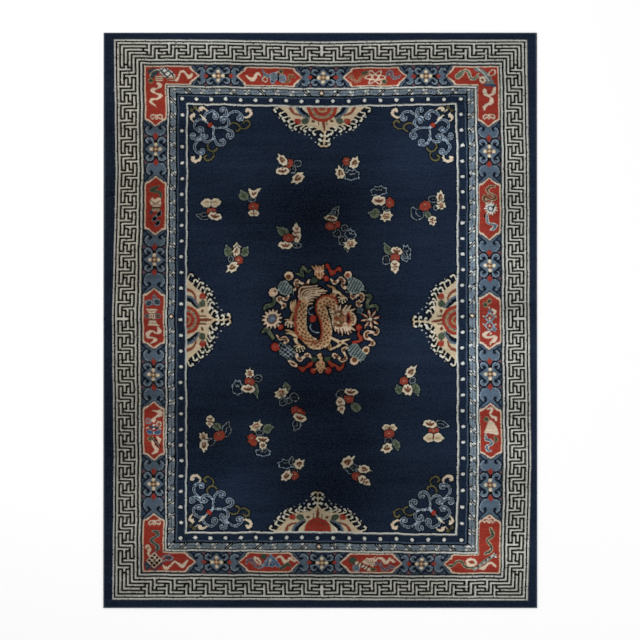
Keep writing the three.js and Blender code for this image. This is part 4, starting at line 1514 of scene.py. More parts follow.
# Each spray: what it is made of, with place, width, height and turn of every blossom
bloomSize = 9.6
sprays = [
    [(openCurl, -22.4, 157, 8, 7, -20), (openCurl, -27.2, 150.8, 7, 7, 40),
        (roseBloom, -31.6, 157.2, 11, 8.4, 25), (pointedBloom, -38, 160.4, 8.4, 12.4, 38),
        (heartBloom, -37.6, 149.2, 12.4, 8.6, 8), (pointedBloom, -22.6, 142.4, 9.4, 14.4, 128)],
    [(openCurl, 24.6, 152.8, 5, 8, 0), (openBloom, 31.8, 145.6, 13.6, 10.6, 0),
        (redOval, 26.4, 159.5, 7.6, 7.2, 0), (pointedBloom, 34.4, 158, 9, 12.2, -24),
        (pointedBloom, 20, 147.8, 9.2, 12, 12)],
    [(openLeaf, -117, 104.6, 7.4, 13, 78), (roseBloom, -109, 109.4, 10.6, 5.6, 0),
        (doubleBloom, -109.2, 117.6, 18.6, 9.4, 0), (heartBloom, -105.6, 104.2, 12.4, 8.6, -12)],
    [(openCurl, -68.2, 121, 8, 4, 180), (olivePetal, -76.4, 124.8, 9, 10.6, 28),
        (trumpetBloom, -66.6, 127.2, 10.2, 9.6, 0), (roseBloom, -66.4, 114.2, 11.4, 7.6, 0),
        (doubleBloom, -66.6, 107.6, 10, 6.6, 180)],
    [(openCurl, 66.2, 112.4, 8, 5, 180), (openBloom, 58.4, 129.4, 14.6, 9.6, 8),
        (heartBloom, 58.2, 119.8, 12.6, 11.2, 0), (roseBloom, 69.4, 117.6, 8.4, 11.4, 4),
        (olivePetal, 54.4, 107.2, 9.4, 10.6, 82), (plainBloom, 66.2, 104.4, 11.8, 10.4, 24)],
    [(openCurl, 113.2, 121.6, 7, 11, 100), (openCurl, 115.6, 113.6, 6, 6, 150),
        (openLeaf, 96.4, 106.4, 12, 14, 34), (olivePetal, 107.2, 106, 6, 9.8, 24),
        (redOval, 104.2, 114, 13.2, 10.2, 24), (pointedBloom, 119.6, 123.6, 8.2, 11.6, -4),
        (plainBloom, 119.8, 115.6, 9, 8.6, 0), (tallBloom, 112, 99.8, 8.2, 8.8, 200)],
    [(olivePetal, -37.2, 88.8, 8.8, 12.6, 52), (openLeaf, -24, 75.6, 9, 6.6, 0),
        (tallBloom, -23.8, 87.4, 9.8, 17.2, 0), (roseBloom, -31.8, 82.4, 12.6, 8.2, 0),
        (heartBloom, -35, 75, 13.2, 8.2, 0)],
    [(openLeaf, 15, 108, 8.6, 12.4, -38), (openLeaf, 13.4, 107.4, 4.8, 8.4, -34),
        (olivePetal, 26.2, 73.2, 6, 8.6, 190), (openCurl, 16.8, 87, 7.6, 7.4, 180),
        (openCurl, 24.6, 92.6, 6.8, 6.6, 10), (openBloom, 30, 86.2, 10.4, 9.6, -30),
        (openCurl, 21.8, 80.2, 7.6, 9.2, 190), (redOval, 13.2, 95.8, 16.8, 10.6, 0),
        (roseBloom, 9.6, 93.6, 9, 7, 0), (heartBloom, 11, 102, 11.4, 6.8, 180),
        (plainBloom, 29.8, 77, 12.8, 9, 20)],
    [(olivePetal, -92.2, 69.4, 7.4, 11.4, 14), (olivePetal, -75.2, 68.6, 7.6, 10.4, -28),
        (openCurl, -89.2, 60.8, 5.6, 6.4, 0), (tallBloom, -83.8, 70.2, 9.4, 13, 0),
        (pointedBloom, -83.8, 69.4, 7.6, 9.4, 0), (roseBloom, -81.2, 59.8, 8.6, 8.4, 0),
        (pointedBloom, -87.6, 52.8, 9, 12.6, 128)],
    [(olivePetal, 67.6, 71, 7.4, 11.8, 22), (openCurl, 65.8, 59.8, 9.4, 8, 60),
        (openBloom, 85.6, 67.2, 8.6, 17, 0), (openLeaf, 83.6, 66.8, 5, 11.6, 32),
        (heartBloom, 76.2, 69.6, 10.6, 9, -10), (roseBloom, 74.8, 62.8, 9.8, 8.6, 180),
        (tallBloom, 74.4, 54, 9.4, 11.8, 186)],
    [(openCurl, -62.4, -58, 7.4, 8.8, -70), (openBloom, -82.6, -67.8, 9.2, 15.4, 0),
        (olivePetal, -64.6, -69.6, 6.2, 14.4, 190), (roseBloom, -70.4, -61.4, 11, 8, 0),
        (plainBloom, -70.8, -52.8, 8.4, 9.6, 0), (heartBloom, -71.8, -68.6, 12.8, 8.8, 0)],
    [(olivePetal, 78.6, -68.8, 7.2, 9.2, 20), (olivePetal, 95.4, -69, 7.6, 12.4, 196),
        (openCurl, 92.2, -60.2, 5.8, 6.6, -30), (roseBloom, 83.6, -60.8, 8, 8, 0),
        (pointedBloom, 90.6, -51.2, 8.8, 13, -40), (heartBloom, 87.2, -69.4, 9, 12.6, 0)],
    [(openCurl, -25.8, -77.4, 9, 8.6, -60), (openCurl, -31.8, -80.6, 6, 8, 100),
        (openCurl, -37.2, -81.6, 8.4, 8, 190), (openLeaf, -23.8, -105, 8.4, 10.6, 158),
        (olivePetal, -33.4, -66.8, 7.2, 9, 10), (plainBloom, -38.8, -72.8, 13.2, 9.8, 20),
        (redOval, -22.6, -91.6, 17.4, 10.4, -24), (heartBloom, -20.6, -97.4, 12.2, 8.6, -12)],
    [(openCurl, 20.4, -73.4, 9.4, 6.8, 20), (olivePetal, 35.6, -86.2, 8.8, 11, 36),
        (roseBloom, 28.8, -78.8, 11.2, 8, 0), (heartBloom, 30.8, -71.6, 12.2, 7.8, 0),
        (tallBloom, 20.8, -85.2, 9.4, 15, 188)],
    [(openLeaf, -93.6, -109.2, 9.4, 14.6, -20), (openCurl, -108.6, -121.4, 6.4, 8.4, 150),
        (olivePetal, -103.4, -105.4, 7.4, 9.6, 40), (tallBloom, -110.2, -101, 8.8, 10.8, 176),
        (redOval, -100.8, -115.2, 13.4, 10.6, 20), (plainBloom, -116.6, -116.2, 8.8, 8.2, 0),
        (pointedBloom, -116, -125.2, 9, 11.8, 178)],
    [(openCurl, -60.8, -112.4, 8, 5.4, 180), (openBloom, -56.8, -132, 13.6, 7.6, 0),
        (olivePetal, -52.2, -108.2, 9.2, 10.4, -76), (plainBloom, -64.2, -106, 12.6, 9, 30),
        (redOval, -67.6, -119.8, 9, 15.6, 24), (heartBloom, -57.6, -119.2, 12.2, 7.4, 0),
        (pointedBloom, -57.4, -125, 7.6, 8.2, 180)],
    [(openCurl, 68.2, -120.6, 8, 7.4, 180), (olivePetal, 76, -124.6, 6.4, 11.4, 196),
        (doubleBloom, 69.2, -107.8, 14, 7.6, 0), (roseBloom, 68.6, -113.4, 11.6, 8.4, 0),
        (pointedBloom, 66.6, -128, 9.6, 11.2, 116)],
    [(openLeaf, 120.8, -104.2, 7.6, 12.4, -104), (roseBloom, 112.8, -110.6, 11.4, 5.6, 0),
        (doubleBloom, 112.6, -117.6, 18.6, 9.2, 180), (heartBloom, 109, -104, 12.4, 8.8, -6)],
    [(openCurl, -27, -149.8, 8.6, 8, 150), (openBloom, -33.6, -144, 15, 9.4, 0),
        (openLeaf, -27.6, -141.6, 7.8, 8.4, 0), (pointedBloom, -21, -143.6, 9.8, 10.6, -50),
        (redOval, -26.2, -155.4, 7.2, 8.2, 0), (pointedBloom, -34.2, -156, 9, 11.8, 134)],
    [(openBloom, 31.6, -148.4, 10.6, 12.4, -34), (openCurl, 33.6, -147.2, 6.4, 6.4, 0),
        (redOval, 36.2, -156, 11.2, 8.4, -10), (pointedBloom, 27.8, -141.8, 9.8, 15, -48),
        (pointedBloom, 44.2, -148.8, 8.2, 12.8, -102), (tallBloom, 43.6, -160.2, 8.4, 12.4, 236)],
]


for spray in sprays:
    b = Brush()
    for bloom, x, y, width, height, turn in spray:
        b.hold(x, y, turn, stretch=(width / bloomSize, height / bloomSize))
        bloom(b)
        b.edge("ink")
        b.lay()


def strayKnots(share, fromKnot):
    # here and there a knot at the edge of a colour was tied in the colour next to it
    tied = chart.copy()
    for up, along in ((0, 1), (1, 0), (0, -1), (-1, 0)):
        beside = np.roll(tied, (up, along), (0, 1))
        stray = (beside != tied) & (draw.random(tied.shape) < share) & (ring >= fromKnot)
        chart[stray] = beside[stray]


draw = np.random.default_rng(12)
strayKnots(share=0.022, fromKnot=3)
print("charted", chart.size, "knots in", len(yarns), "yarns")

# The loom and years on the floor pull the straight lines out of true. For each side: quarter inches
# outwards, at five places along it, for its outer line, inner line and field frame
pulls = {
    "left": ((-0.3, -2.4, 1.3, -0.4, 1.0), (-0.7, -1.0, 0.9, 1.0, 1.5), (-0.6, -0.5, 0.6, 0.0, 1.2)),
    "right": ((-0.5, 3.4, 1.7, 1.3, -1.0), (0.3, 2.7, 1.8, 1.9, -0.8), (-3.0, 1.0, 0.1, 0.9, -3.4)),
    "head": ((1.7, 1.3, -0.8, 1.0, 1.3), (2.6, 1.5, -0.7, 1.1, 1.8), (2.6, 0.4, -2.0, 0.3, 1.8)),
    "foot": ((0.2, 0.3, 0.6, 1.0, 1.1), (-0.5, 0.5, 1.1, 2.6, 3.0), (-0.4, -0.1, -0.8, 1.7, 1.8)),
    "lines": (13.5, 83.5, 107.5),  # knots from the edge to each of the three
    "fade": 60,  # quarter inches from the field frame to where the field lies calm
    "ripple": 0.26,
    # share of each ripple, its waves along the side, its lean and where it starts
    "across": ((1, 31, 3, 0), (0.7, 57, 5, 1.3), (0.6, 149, 9, 0)),
    "along": ((1, 29, 2, 0), (0.7, 47, -4, 0.7), (0.6, 113, -7, 0)),
}


def swellAt(x, y):
    # long low swells in the clipped pile, as a share of the unevenness
    across = 2 * x / rug["width"]
    along = 2 * y / rug["length"]
    total = np.zeros(np.broadcast(across, along).shape)
    for acrossWaves, alongWaves, start, share in rug["swells"]:
        total += share * np.sin(math.pi * (acrossWaves * across + alongWaves * along) + start)
    return total


def pulledSide(side, out, share):
    # how far a side is pulled outwards: nothing at the outline, and fading away into the field
    half = loom["width" if side in ("left", "right") else "length"] / 2
    knot = loom[side + "Border"] / loom["borderKnots"]
    stations = [0.0] + [line * knot for line in pulls["lines"]]
    stations.append(stations[-1] + pulls["fade"])
    still = np.zeros_like(out)
    values = [np.interp(share, np.linspace(-1, 1, len(row)), row) for row in pulls[side]]
    values = [still] + values + [still]
    total = np.zeros_like(out)
    for k in range(len(stations) - 1):
        t = (half - out - stations[k]) / (stations[k + 1] - stations[k])
        within = (t >= 0) & (t < 1)
        total[within] = (values[k] * (1 - t) + values[k + 1] * t)[within]
    return total


def rippled(ripples, u, v):
    total = 0
    for share, waves, lean, start in ripples:
        total = total + share * np.sin(u * waves + start + v * lean)
    return total


def pulledPlan():
    # every corner between four knots, in metres, with the lines of the pattern as uneven as woven
    x, y = np.meshgrid(edgesX, edgesY)
    u = 2 * x / loom["width"]
    v = 2 * y / loom["length"]
    calm = (1 - u ** 8) * (1 - v ** 8)
    dx = pulledSide("right", x, v) - pulledSide("left", -x, -v)
    dy = pulledSide("head", y, u) - pulledSide("foot", -y, u)
    dx[:, [0, -1]] = 0
    dy[[0, -1]] = 0
    dx += calm * pulls["ripple"] * rippled(pulls["across"], v, u)
    dy += calm * pulls["ripple"] * rippled(pulls["along"], u, v)
    x = (x + dx) * rug["width"] / loom["width"]
    y = (y + dy) * rug["length"] / loom["length"]
    return x * (1 - rug["headNarrower"] / rug["width"] * (y / rug["length"] + 0.5)), y


pile = {
    "followsCloth": 0.9,  # share of the cloth's unevenness that the clipped pile keeps
    "knotUnevenness": 0.00022,
    "etching": {"ink": 0.0011, "brown": 0.0005, "dusk": 0.0003},  # iron-dyed yarns wear lower
    "rim": ((0.0005, 0.0048), (0.0030, 0.0094), (0.0078, 0.0110)),  # step in from the outline, height
    "block": 4,  # knots to a side in the plain ground, where one face is enough
}
plainYarn = dip("navy")


def cornerHeights(x, y):
    depth = np.zeros(len(yarnNames))
    for yarn, down in pile["etching"].items():
        depth[dip(yarn)] = down
    low = np.pad(depth[chart], 1, mode="edge")
    low = (low[:-1, :-1] + low[1:, :-1] + low[:-1, 1:] + low[1:, 1:]) / 4
    uneven = draw.uniform(-1, 1, x.shape) * pile["knotUnevenness"]
    return rug["pileTop"] + swellAt(x, y) * rug["unevenness"] * pile["followsCloth"] + uneven - low


def rollRim(x, y, z):
    # the outer knots lean out over the side cord
    corner = np.minimum(fromBothEnds(x.shape[1])[None, :], fromBothEnds(x.shape[0])[:, None])
    halfWidth = np.abs(x).max(axis=1)
    halfLength = np.abs(y).max(axis=0)

    def heldIn(places, reach, outermost):
        return np.sign(places) * (reach if outermost else np.minimum(np.abs(places), reach))

    for k, (stepIn, height) in enumerate(pile["rim"]):
        onRim = corner == k
        z[onRim] = height + (z[onRim] - rug["pileTop"]) * (k / 2)
        for side in (k, x.shape[1] - 1 - k):
            x[:, side] = heldIn(x[:, side], halfWidth - stepIn, k == 0)
        for end in (k, x.shape[0] - 1 - k):
            y[end] = heldIn(y[end], halfLength - stepIn, k == 0)


cornerX, cornerY = pulledPlan()
cornerZ = cornerHeights(cornerX, cornerY)
rollRim(cornerX, cornerY, cornerZ)


def yarnTable():
    # from the yarns as seen on a screen to the share of light that they send back
    table = np.ones((len(yarnNames), 3))
    for k, name in enumerate(yarnNames):
        table[k] = [((c / 255 + 0.055) / 1.055) ** 2.4 if c > 10 else c / 255 / 12.92 for c in yarns[name]]
    return table


# Soft patches of painted light and shade where the carpet lay unevenly lit, partly also where the dye took
# darker or lighter. Places and half sizes in quarter inches, then the change of tone and the warmth (below
# 0 is bluer)
lightAndDyePatches = [
    (-4, 106, 52, 34, -0.60, 0.0),
    (-92, 112, 46, 15, -0.32, 0.0),
    (0, 30, 62, 130, -0.25, 0.02),
    (0, -82, 64, 30, -0.42, 0.0),
    (20, -124, 48, 24, -0.34, 0.0),
    (10, -172, 54, 40, -0.52, 0.0),
    (-112, -118, 34, 40, -0.30, 0.0),
    (104, 164, 46, 42, 0.34, -0.04),
    (112, 20, 36, 110, 0.20, -0.04),
    (-84, 20, 34, 44, 0.22, 0.0),
    (-106, -164, 40, 24, 0.30, -0.06),
    (-80, 168, 60, 26, 0.10, 0.0),
    (-196, 130, 28, 150, -0.16, 0.06),
    (-196, -120, 28, 150, -0.28, 0.03),
    (0, -260, 170, 26, -0.30, 0.0),
    (158, 0, 24, 240, 0.34, -0.06),
    (-166, 104, 14, 64, -0.26, 0.0),
    (-166, 10, 14, 70, -0.16, -0.02),
    (-166, -150, 14, 90, -0.12, 0.0),
    (-40, -243, 150, 12, -0.12, 0.0),
    (0, 205, 60, 24, -0.06, -0.03),
    (0, -200, 60, 24, -0.10, -0.03),
    (-120, 0, 24, 60, -0.12, -0.02),
    (-134, 0, 4, 260, -0.16, 0.0),
    (-206, 0, 5, 290, -0.12, 0.0),
    (217, 0, 9, 280, 0.30, 0.0),
    (60, 236, 130, 16, 0.18, -0.02),
    (4, -52, 46, 12, -0.24, 0.0),
    (-167, -111, 12, 24, 0.48, 0.0),
    (-167, -242, 26, 14, -0.14, 0.0),
    (-48, 2, 12, 40, -0.14, 0.0),
    (-2, -206, 13, 9, -0.14, 0.0),
    (-167, 112, 10, 28, -0.08, 0.0),
    (-167, 242, 24, 14, -0.13, 0.0),
    (188, 0, 26, 300, 0.07, -0.01),
    (151, 0, 5, 240, 0.30, 0.0),
    (-148, 0, 5, 240, 0.10, -0.01),
    (0, -225, 150, 4, 0.10, -0.01),
    (0, 215, 150, 4, -0.06, 0.0),
    (168, -111, 10, 30, -0.12, 0.0),
]
weave = {
    "daylight": 0.80,
    # painted groove shade: how much darker a pale knot is painted beside a darker one, standing for the
    # shade where the pile was clipped to a slope, and how often
    "grooveShade": 0.24,
    "grooveShadeMost": 2.0,
    "darkest": 0.02,
}


def knotColours():
    # reflectance of every knot, from its yarn, with painted shade where it sits beside darker neighbours,
    # and patches of painted light and shade, partly dye, by its place on the floor
    table = yarnTable()
    colours = table[chart]
    light = table.mean(axis=1)[chart]
    # painted groove shade: a pale knot is painted darker for each darker knot beside it
    shadeBeside = np.zeros_like(light)
    for beside in fourSides(light, "edge"):
        shadeBeside += np.clip((light - beside) / np.maximum(light, weave["darkest"]), 0, 1)
    tone = weave["daylight"] * (1 - weave["grooveShade"] * np.minimum(shadeBeside, weave["grooveShadeMost"]))
    x, y = np.meshgrid(knotX, knotY)
    warmth = np.zeros_like(tone)
    # patches of painted light and shade by place on the floor, partly dye that took darker or lighter
    for spotX, spotY, halfWidth, halfLength, change, warmer in lightAndDyePatches:
        near = np.exp(-((x - spotX) / halfWidth) ** 2 - ((y - spotY) / halfLength) ** 2)
        tone *= 1 + change * near
        warmth += warmer * near
    return colours * tone[:, :, None] * np.stack((1 + warmth, np.ones_like(warmth), 1 - warmth), 2)


reflectance = knotColours().reshape(-1, 3)


def plainBlocks(zone):
    # squares of plain ground that become one face
    size = pile["block"]
    plain = (chart == plainYarn) & zone
    tall = plain.shape[0] // size
    wide = plain.shape[1] // size
    return plain.reshape(tall, size, wide, size).all(axis=(1, 3))


def knotFaces(zone):
    # faces as rows of corner numbers, and the knot that gives each its colour
    size = pile["block"]
    across = cornerX.shape[1]
    blocks = plainBlocks(zone)
    single = zone & ~np.kron(blocks, np.ones((size, size), bool))
    r, c = np.nonzero(single)
    first = r * across + c
    quads = np.stack((first, first + 1, first + 1 + across, first + across), 1)
    loops = [quads.ravel()]
    counts = [np.full(len(quads), 4)]
    knots = [r * chart.shape[1] + c]
    middles = []
    beside = np.pad(blocks, 1)
    manyLoops = []
    manyCounts = []
    for br, bc in zip(*np.nonzero(blocks)):
        start = br * size * across + bc * size
        far = start + size * across
        below, after = beside[br, bc + 1], beside[br + 1, bc + 2]
        above, before = beside[br + 2, bc + 1], beside[br + 1, bc]
        face = [start] + ([] if below else [start + k for k in range(1, size)])
        face += [start + size] + ([] if after else [start + size + k * across for k in range(1, size)])
        face += [far + size] + ([] if above else [far + size - k for k in range(1, size)])
        face += [far] + ([] if before else [far - k * across for k in range(1, size)])
        manyLoops += face
        manyCounts.append(len(face))
        middles.append((br * size + size // 2) * chart.shape[1] + bc * size + size // 2)
    loops.append(np.array(manyLoops, int))
    counts.append(np.array(manyCounts, int))
    knots.append(np.array(middles, int))
    return np.concatenate(loops), np.concatenate(counts), np.concatenate(knots)


def onStage(name, data):
    # an object in the scene from a mesh, a light or a camera
    thing = bpy.data.objects.new(name, data)
    bpy.context.collection.objects.link(thing)
    return thing


def pilePiece(name, zone, material):
    loops, counts, knots = knotFaces(zone)
    used, local = np.unique(loops, return_inverse=True)
    places = np.stack((cornerX.ravel()[used], cornerY.ravel()[used], cornerZ.ravel()[used]), 1)
    mesh = bpy.data.meshes.new(name)
    mesh.vertices.add(len(used))
    mesh.vertices.foreach_set("co", places.ravel())
    mesh.loops.add(len(loops))
    mesh.loops.foreach_set("vertex_index", local.astype(np.int32))
    mesh.polygons.add(len(counts))
    mesh.polygons.foreach_set("loop_start", np.concatenate(([0], np.cumsum(counts)[:-1])).astype(np.int32))
    mesh.update(calc_edges=True)
    mesh.polygons.foreach_set("use_smooth", np.ones(len(counts), bool))
    # each knot's colour, with painted groove shade and patches of painted light and shade in it
    yarnAndPaintedShade = mesh.attributes.new("yarnColourWithPaintedShade", "FLOAT_COLOR", "FACE")
    yarnAndPaintedShade.data.foreach_set("color", np.pad(reflectance[knots], ((0, 0), (0, 1)), constant_values=1).ravel())
    knotPlace = np.stack((used % cornerX.shape[1], used // cornerX.shape[1], np.zeros(len(used))), 1)
    mesh.attributes.new("knotPlace", "FLOAT_VECTOR", "POINT").data.foreach_set("vector", knotPlace.ravel())
    mesh.materials.append(material)
    print(" ", name, int((counts - 2).sum()), "triangles")
    return onStage(name, mesh)


class Wiring:
    # Puts nodes into one node tree. What goes into a socket is a value, or the output that feeds it.

    def __init__(self, tree):
        self.tree = tree

    def feed(self, node, sockets):
        for key, value in sockets.items():
            number = key[1:]
            socket = node.inputs[int(number) if number.isdigit() else key.replace("_", " ")]
            if isinstance(value, bpy.types.NodeSocket):
                self.tree.links.new(value, socket)
            else:
                socket.default_value = value
        return node

    def add(self, kind, settings=None, **sockets):
        node = self.tree.nodes.new("ShaderNode" + kind)
        for key, value in (settings or {}).items():
            setattr(node, key, value)
        return self.feed(node, sockets)

    def effect(self, group, **sockets):
        node = self.tree.nodes.new("ShaderNodeGroup")
        node.node_tree = group
        return self.feed(node, sockets).outputs

    def attribute(self, name, socket):
        return self.add("Attribute", {"attribute_name": name}).outputs[socket]

    def maths(self, operation, first, second=0.0, clamp=False):
        settings = {"operation": operation, "use_clamp": clamp}
        return self.add("Math", settings, i0=first, i1=second).outputs[0]

    def plus(self, first, second, clamp=False):
        return self.maths("ADD", first, second, clamp)

    def times(self, first, second):
        return self.maths("MULTIPLY", first, second)

    def centred(self, value, amount):
        # swings to both sides of nought
        return self.times(self.maths("SUBTRACT", value, 0.5), amount)

    def vector(self, operation, first, **second):
        return self.add("VectorMath", {"operation": operation}, i0=first, **second).outputs[0]

    def shaded(self, colour, factor):
        # a colour made lighter or darker by a factor near one
        return self.vector("SCALE", colour, Scale=factor)

    def noise(self, place, scale, detail=2.0, roughness=0.5):
        node = self.add("TexNoise", {"noise_dimensions": "3D"}, Vector=place, Scale=scale)
        return self.feed(node, {"Detail": detail, "Roughness": roughness}).outputs[0]


def newEffect(name, inputs, outputs):
    # an empty node group, with the sockets that come in and go out
    group = bpy.data.node_groups.new(name, "ShaderNodeTree")
    for label, kind, value in inputs:
        socket = group.interface.new_socket(label, in_out="INPUT", socket_type="NodeSocket" + kind)
        if value is not None:
            socket.default_value = value
    for label, kind in outputs:
        group.interface.new_socket(label, in_out="OUTPUT", socket_type="NodeSocket" + kind)
    given = group.nodes.new("NodeGroupInput").outputs
    made = group.nodes.new("NodeGroupOutput").inputs
    return Wiring(group), given, made


grey = (0.5, 0.5, 0.5, 1)


def abrashGroup():
    # bands across the carpet where a fresh batch of dye took lighter or darker, and worn patches
    inputs = [("Colour", "Color", grey), ("Place", "Vector", None), ("Depth", "Float", 0.3),
        ("Patches", "Float", 0.15)]
    t, given, made = newEffect("abrash bands", inputs, [("Colour", "Color"), ("Worn", "Float")])

    def drawnOut(across, along, scale, *detail):
        # waves for each metre across and along the carpet
        return t.noise(t.vector("MULTIPLY", given["Place"], i1=(across, along, 1)), scale, *detail)

    wide = drawnOut(0.35, 2.6, 1, 2)
    thin = drawnOut(0.8, 16, 1, 3, 0.6)
    weft = drawnOut(7, 90, 1, 2)
    patch = drawnOut(1, 1, 2.4, 3, 0.55)
    amounts = {"wide": 1.5, "thin": 0.9, "weft": 0.8}
    worn = {"spread": 1.6, "start": -0.3}
    bands = t.plus(t.centred(wide, amounts["wide"]), t.centred(thin, amounts["thin"]))
    bands = t.times(t.plus(bands, t.centred(weft, amounts["weft"])), given["Depth"])
    factor = t.plus(t.plus(bands, t.centred(patch, given["Patches"])), 1)
    t.tree.links.new(t.shaded(given["Colour"], factor), made["Colour"])
    t.tree.links.new(t.plus(t.times(patch, worn["spread"]), worn["start"], True), made["Worn"])
    return t.tree


def knotGroup():
    # each knot a little lighter or darker than the next, and standing as a small cushion
    inputs = [("Colour", "Color", grey), ("Knot place", "Vector", None), ("Variation", "Float", 0.25),
        ("Speckle", "Float", 0.004)]
    t, given, made = newEffect("wool knots", inputs, [("Colour", "Color"), ("Height", "Float")])
    clumpSize = 0.45
    clumpAmount = 2.2
    clumpSpeckle = 4
    darkest = (0.0012, 0.0012, 0.0014)
    cushion = {"dome": 0.55, "uneven": 0.45}
    cell = t.vector("FLOOR", given["Knot place"])
    each = t.add("TexWhiteNoise", {"noise_dimensions": "3D"}, Vector=cell).outputs["Value"]
    clump = t.noise(given["Knot place"], clumpSize, 3, 0.65)
    change = t.centred(each, given["Variation"])
    clumped = t.maths("SUBTRACT", clump, 0.5)
    change = t.plus(change, t.times(clumped, t.times(given["Variation"], clumpAmount)))
    tone = t.shaded(given["Colour"], t.plus(change, 1))
    stray = t.plus(t.maths("SUBTRACT", each, 0.5), t.centred(clump, clumpSpeckle))
    speck = t.times(stray, given["Speckle"])
    speckColour = t.add("CombineColor", None, Red=speck, Green=speck, Blue=speck).outputs[0]
    lifted = t.vector("MAXIMUM", t.vector("ADD", tone, i1=speckColour), i1=darkest)
    t.tree.links.new(lifted, made["Colour"])
    parts = t.add("SeparateXYZ", None, Vector=t.vector("FRACTION", given["Knot place"])).outputs
    domeX = t.maths("SINE", t.times(parts[0], math.pi))
    domeY = t.maths("SINE", t.times(parts[1], math.pi))
    dome = t.maths("POWER", t.times(domeX, domeY), 0.5)
    t.tree.links.new(t.plus(t.times(dome, cushion["dome"]), t.times(each, cushion["uneven"])),
        made["Height"])
    return t.tree


def fibreGroup():
    # cut ends of spun wool, finer than a knot
    inputs = [("Place", "Vector", None), ("Size", "Float", 900.0)]
    t, given, made = newEffect("cut fibres", inputs, [("Tone", "Float"), ("Height", "Float")])
    fine = t.noise(given["Place"], given["Size"], 3, 0.7)
    t.tree.links.new(t.plus(t.centred(fine, 0.5), 1), made["Tone"])
    t.tree.links.new(fine, made["Height"])
    return t.tree


def weaveGroup():
    # wefts packed over cotton warps, seen on the back and the overcast sides, with painted shade in the
    # dips between their rows and warps
    inputs = [("Place", "Vector", None), ("Rows", "Float", 750.0)]
    t, given, made = newEffect("flat weave", inputs, [("Tone", "Float"), ("Height", "Float")])
    warpsToRow = 1.7
    depths = {"row": 0.5, "warp": 0.3}
    tones = {"weave": 0.12, "stray": 0.3, "least": 0.85}
    parts = t.add("SeparateXYZ", None, Vector=given["Place"]).outputs
    ridge = t.maths("SINE", t.times(parts[1], given["Rows"]))
    warp = t.maths("SINE", t.times(parts[0], t.times(given["Rows"], warpsToRow)))
    both = t.plus(t.times(ridge, depths["row"]), t.times(warp, depths["warp"]))
    stray = t.noise(given["Place"], 140, 3)
    t.tree.links.new(t.plus(both, stray), made["Height"])
    # painted shade: the colour is darker in the dips of the rows and warps, with random strays of tone on
    # top
    tone = t.plus(t.times(both, tones["weave"]), t.plus(t.times(stray, tones["stray"]), tones["least"]))
    t.tree.links.new(tone, made["Tone"])
    return t.tree


abrash = abrashGroup()
knotted = knotGroup()
cutFibres = fibreGroup()
flatWeave = weaveGroup()


def freshMaterial(name, look):
    material = bpy.data.materials.new(name)
    material.use_nodes = True
    shader = material.node_tree.nodes["Principled BSDF"]
    for label, value in look.items():
        shader.inputs[label].default_value = value
    return material, Wiring(material.node_tree), shader


def finish(t, shader, colour, height, distance, strength):
    t.tree.links.new(colour, shader.inputs["Base Color"])
    bump = t.add("Bump", None, Height=height, Distance=distance, Strength=strength)
    t.tree.links.new(bump.outputs[0], shader.inputs["Normal"])


def woolPile():
    look = {
        "Roughness": 0.92,
        "Specular IOR Level": 0.01,
        "Sheen Weight": 0.006,
        "Sheen Roughness": 0.45,
        "Sheen Tint": (0.75, 0.8, 0.9, 1),
    }
    fibreShare = 0.5  # how much the fibres' height counts beside the knots'
    wornGloss = 0.08
    material, t, shader = freshMaterial("wool pile", look)
    # the knots' colours, which carry painted groove shade and patches of painted light and shade
    yarnAndPaintedShade = t.attribute("yarnColourWithPaintedShade", "Color")
    knotPlace = t.attribute("knotPlace", "Vector")
    place = t.add("TexCoord").outputs["Object"]
    bands = t.effect(abrash, Colour=yarnAndPaintedShade, Place=place, Depth=0.75, Patches=0.5)
    knots = t.effect(knotted, Colour=bands["Colour"], Knot_place=knotPlace, Variation=0.22, Speckle=0.005)
    fibres = t.effect(cutFibres, Place=place, Size=900.0)
    colour = t.shaded(knots["Colour"], fibres["Tone"])
    rough = t.plus(t.times(bands["Worn"], -wornGloss), look["Roughness"] + wornGloss / 2)
    t.tree.links.new(rough, shader.inputs["Roughness"])
    height = t.plus(knots["Height"], t.times(fibres["Height"], fibreShare))
    finish(t, shader, colour, height, distance=0.0012, strength=0.5)
    return material


def cottonBack():
    look = {
        "Roughness": 0.9,
        "Specular IOR Level": 0.15,
        "Sheen Weight": 0.05,
        "Sheen Roughness": 0.5,
        "Sheen Tint": (1, 1, 1, 1),
    }
    darkBlue = (0.035, 0.045, 0.065, 1)
    material, t, shader = freshMaterial("overcast edge and back", look)
    place = t.add("TexCoord").outputs["Object"]
    weave = t.effect(flatWeave, Place=place, Rows=750.0)
    fibres = t.effect(cutFibres, Place=place, Size=1400.0)
    tone = t.times(weave["Tone"], fibres["Tone"])
    ground = t.add("RGB").outputs[0]
    ground.default_value = darkBlue
    finish(t, shader, t.shaded(ground, tone), weave["Height"], distance=0.0008, strength=0.6)
    return material


print("mixing wool and cotton")
woolMaterial = woolPile()
backMaterial = cottonBack()

cuts = (0, 51, 85, 110)  # knots from the edge where one piece of pile ends and the next starts
headHalf = (rows >= loom["knotsAlong"] // 2)[:, None] & np.ones_like(ring, bool)
medallionBox = (slice(360, 512), slice(196, 376))  # rows and columns, in whole blocks of plain ground
inMedallion = np.zeros_like(headHalf)
inMedallion[medallionBox] = True
fretBorder = band(cuts[0], cuts[1])
openField = (ring >= cuts[3]) & ~inMedallion
zones = {
    "fret_border_head": fretBorder & headHalf,
    "fret_border_foot": fretBorder & ~headHalf,
    "cartouche_border": band(cuts[1], cuts[2]),
    "pearl_border": band(cuts[2], cuts[3]),
    "field_head": openField & headHalf,
    "field_foot": openField & ~headHalf,
    "round_medallion": inMedallion,
}
print("cutting the pile")
pilePieces = [pilePiece(name, zone, woolMaterial) for name, zone in zones.items()]

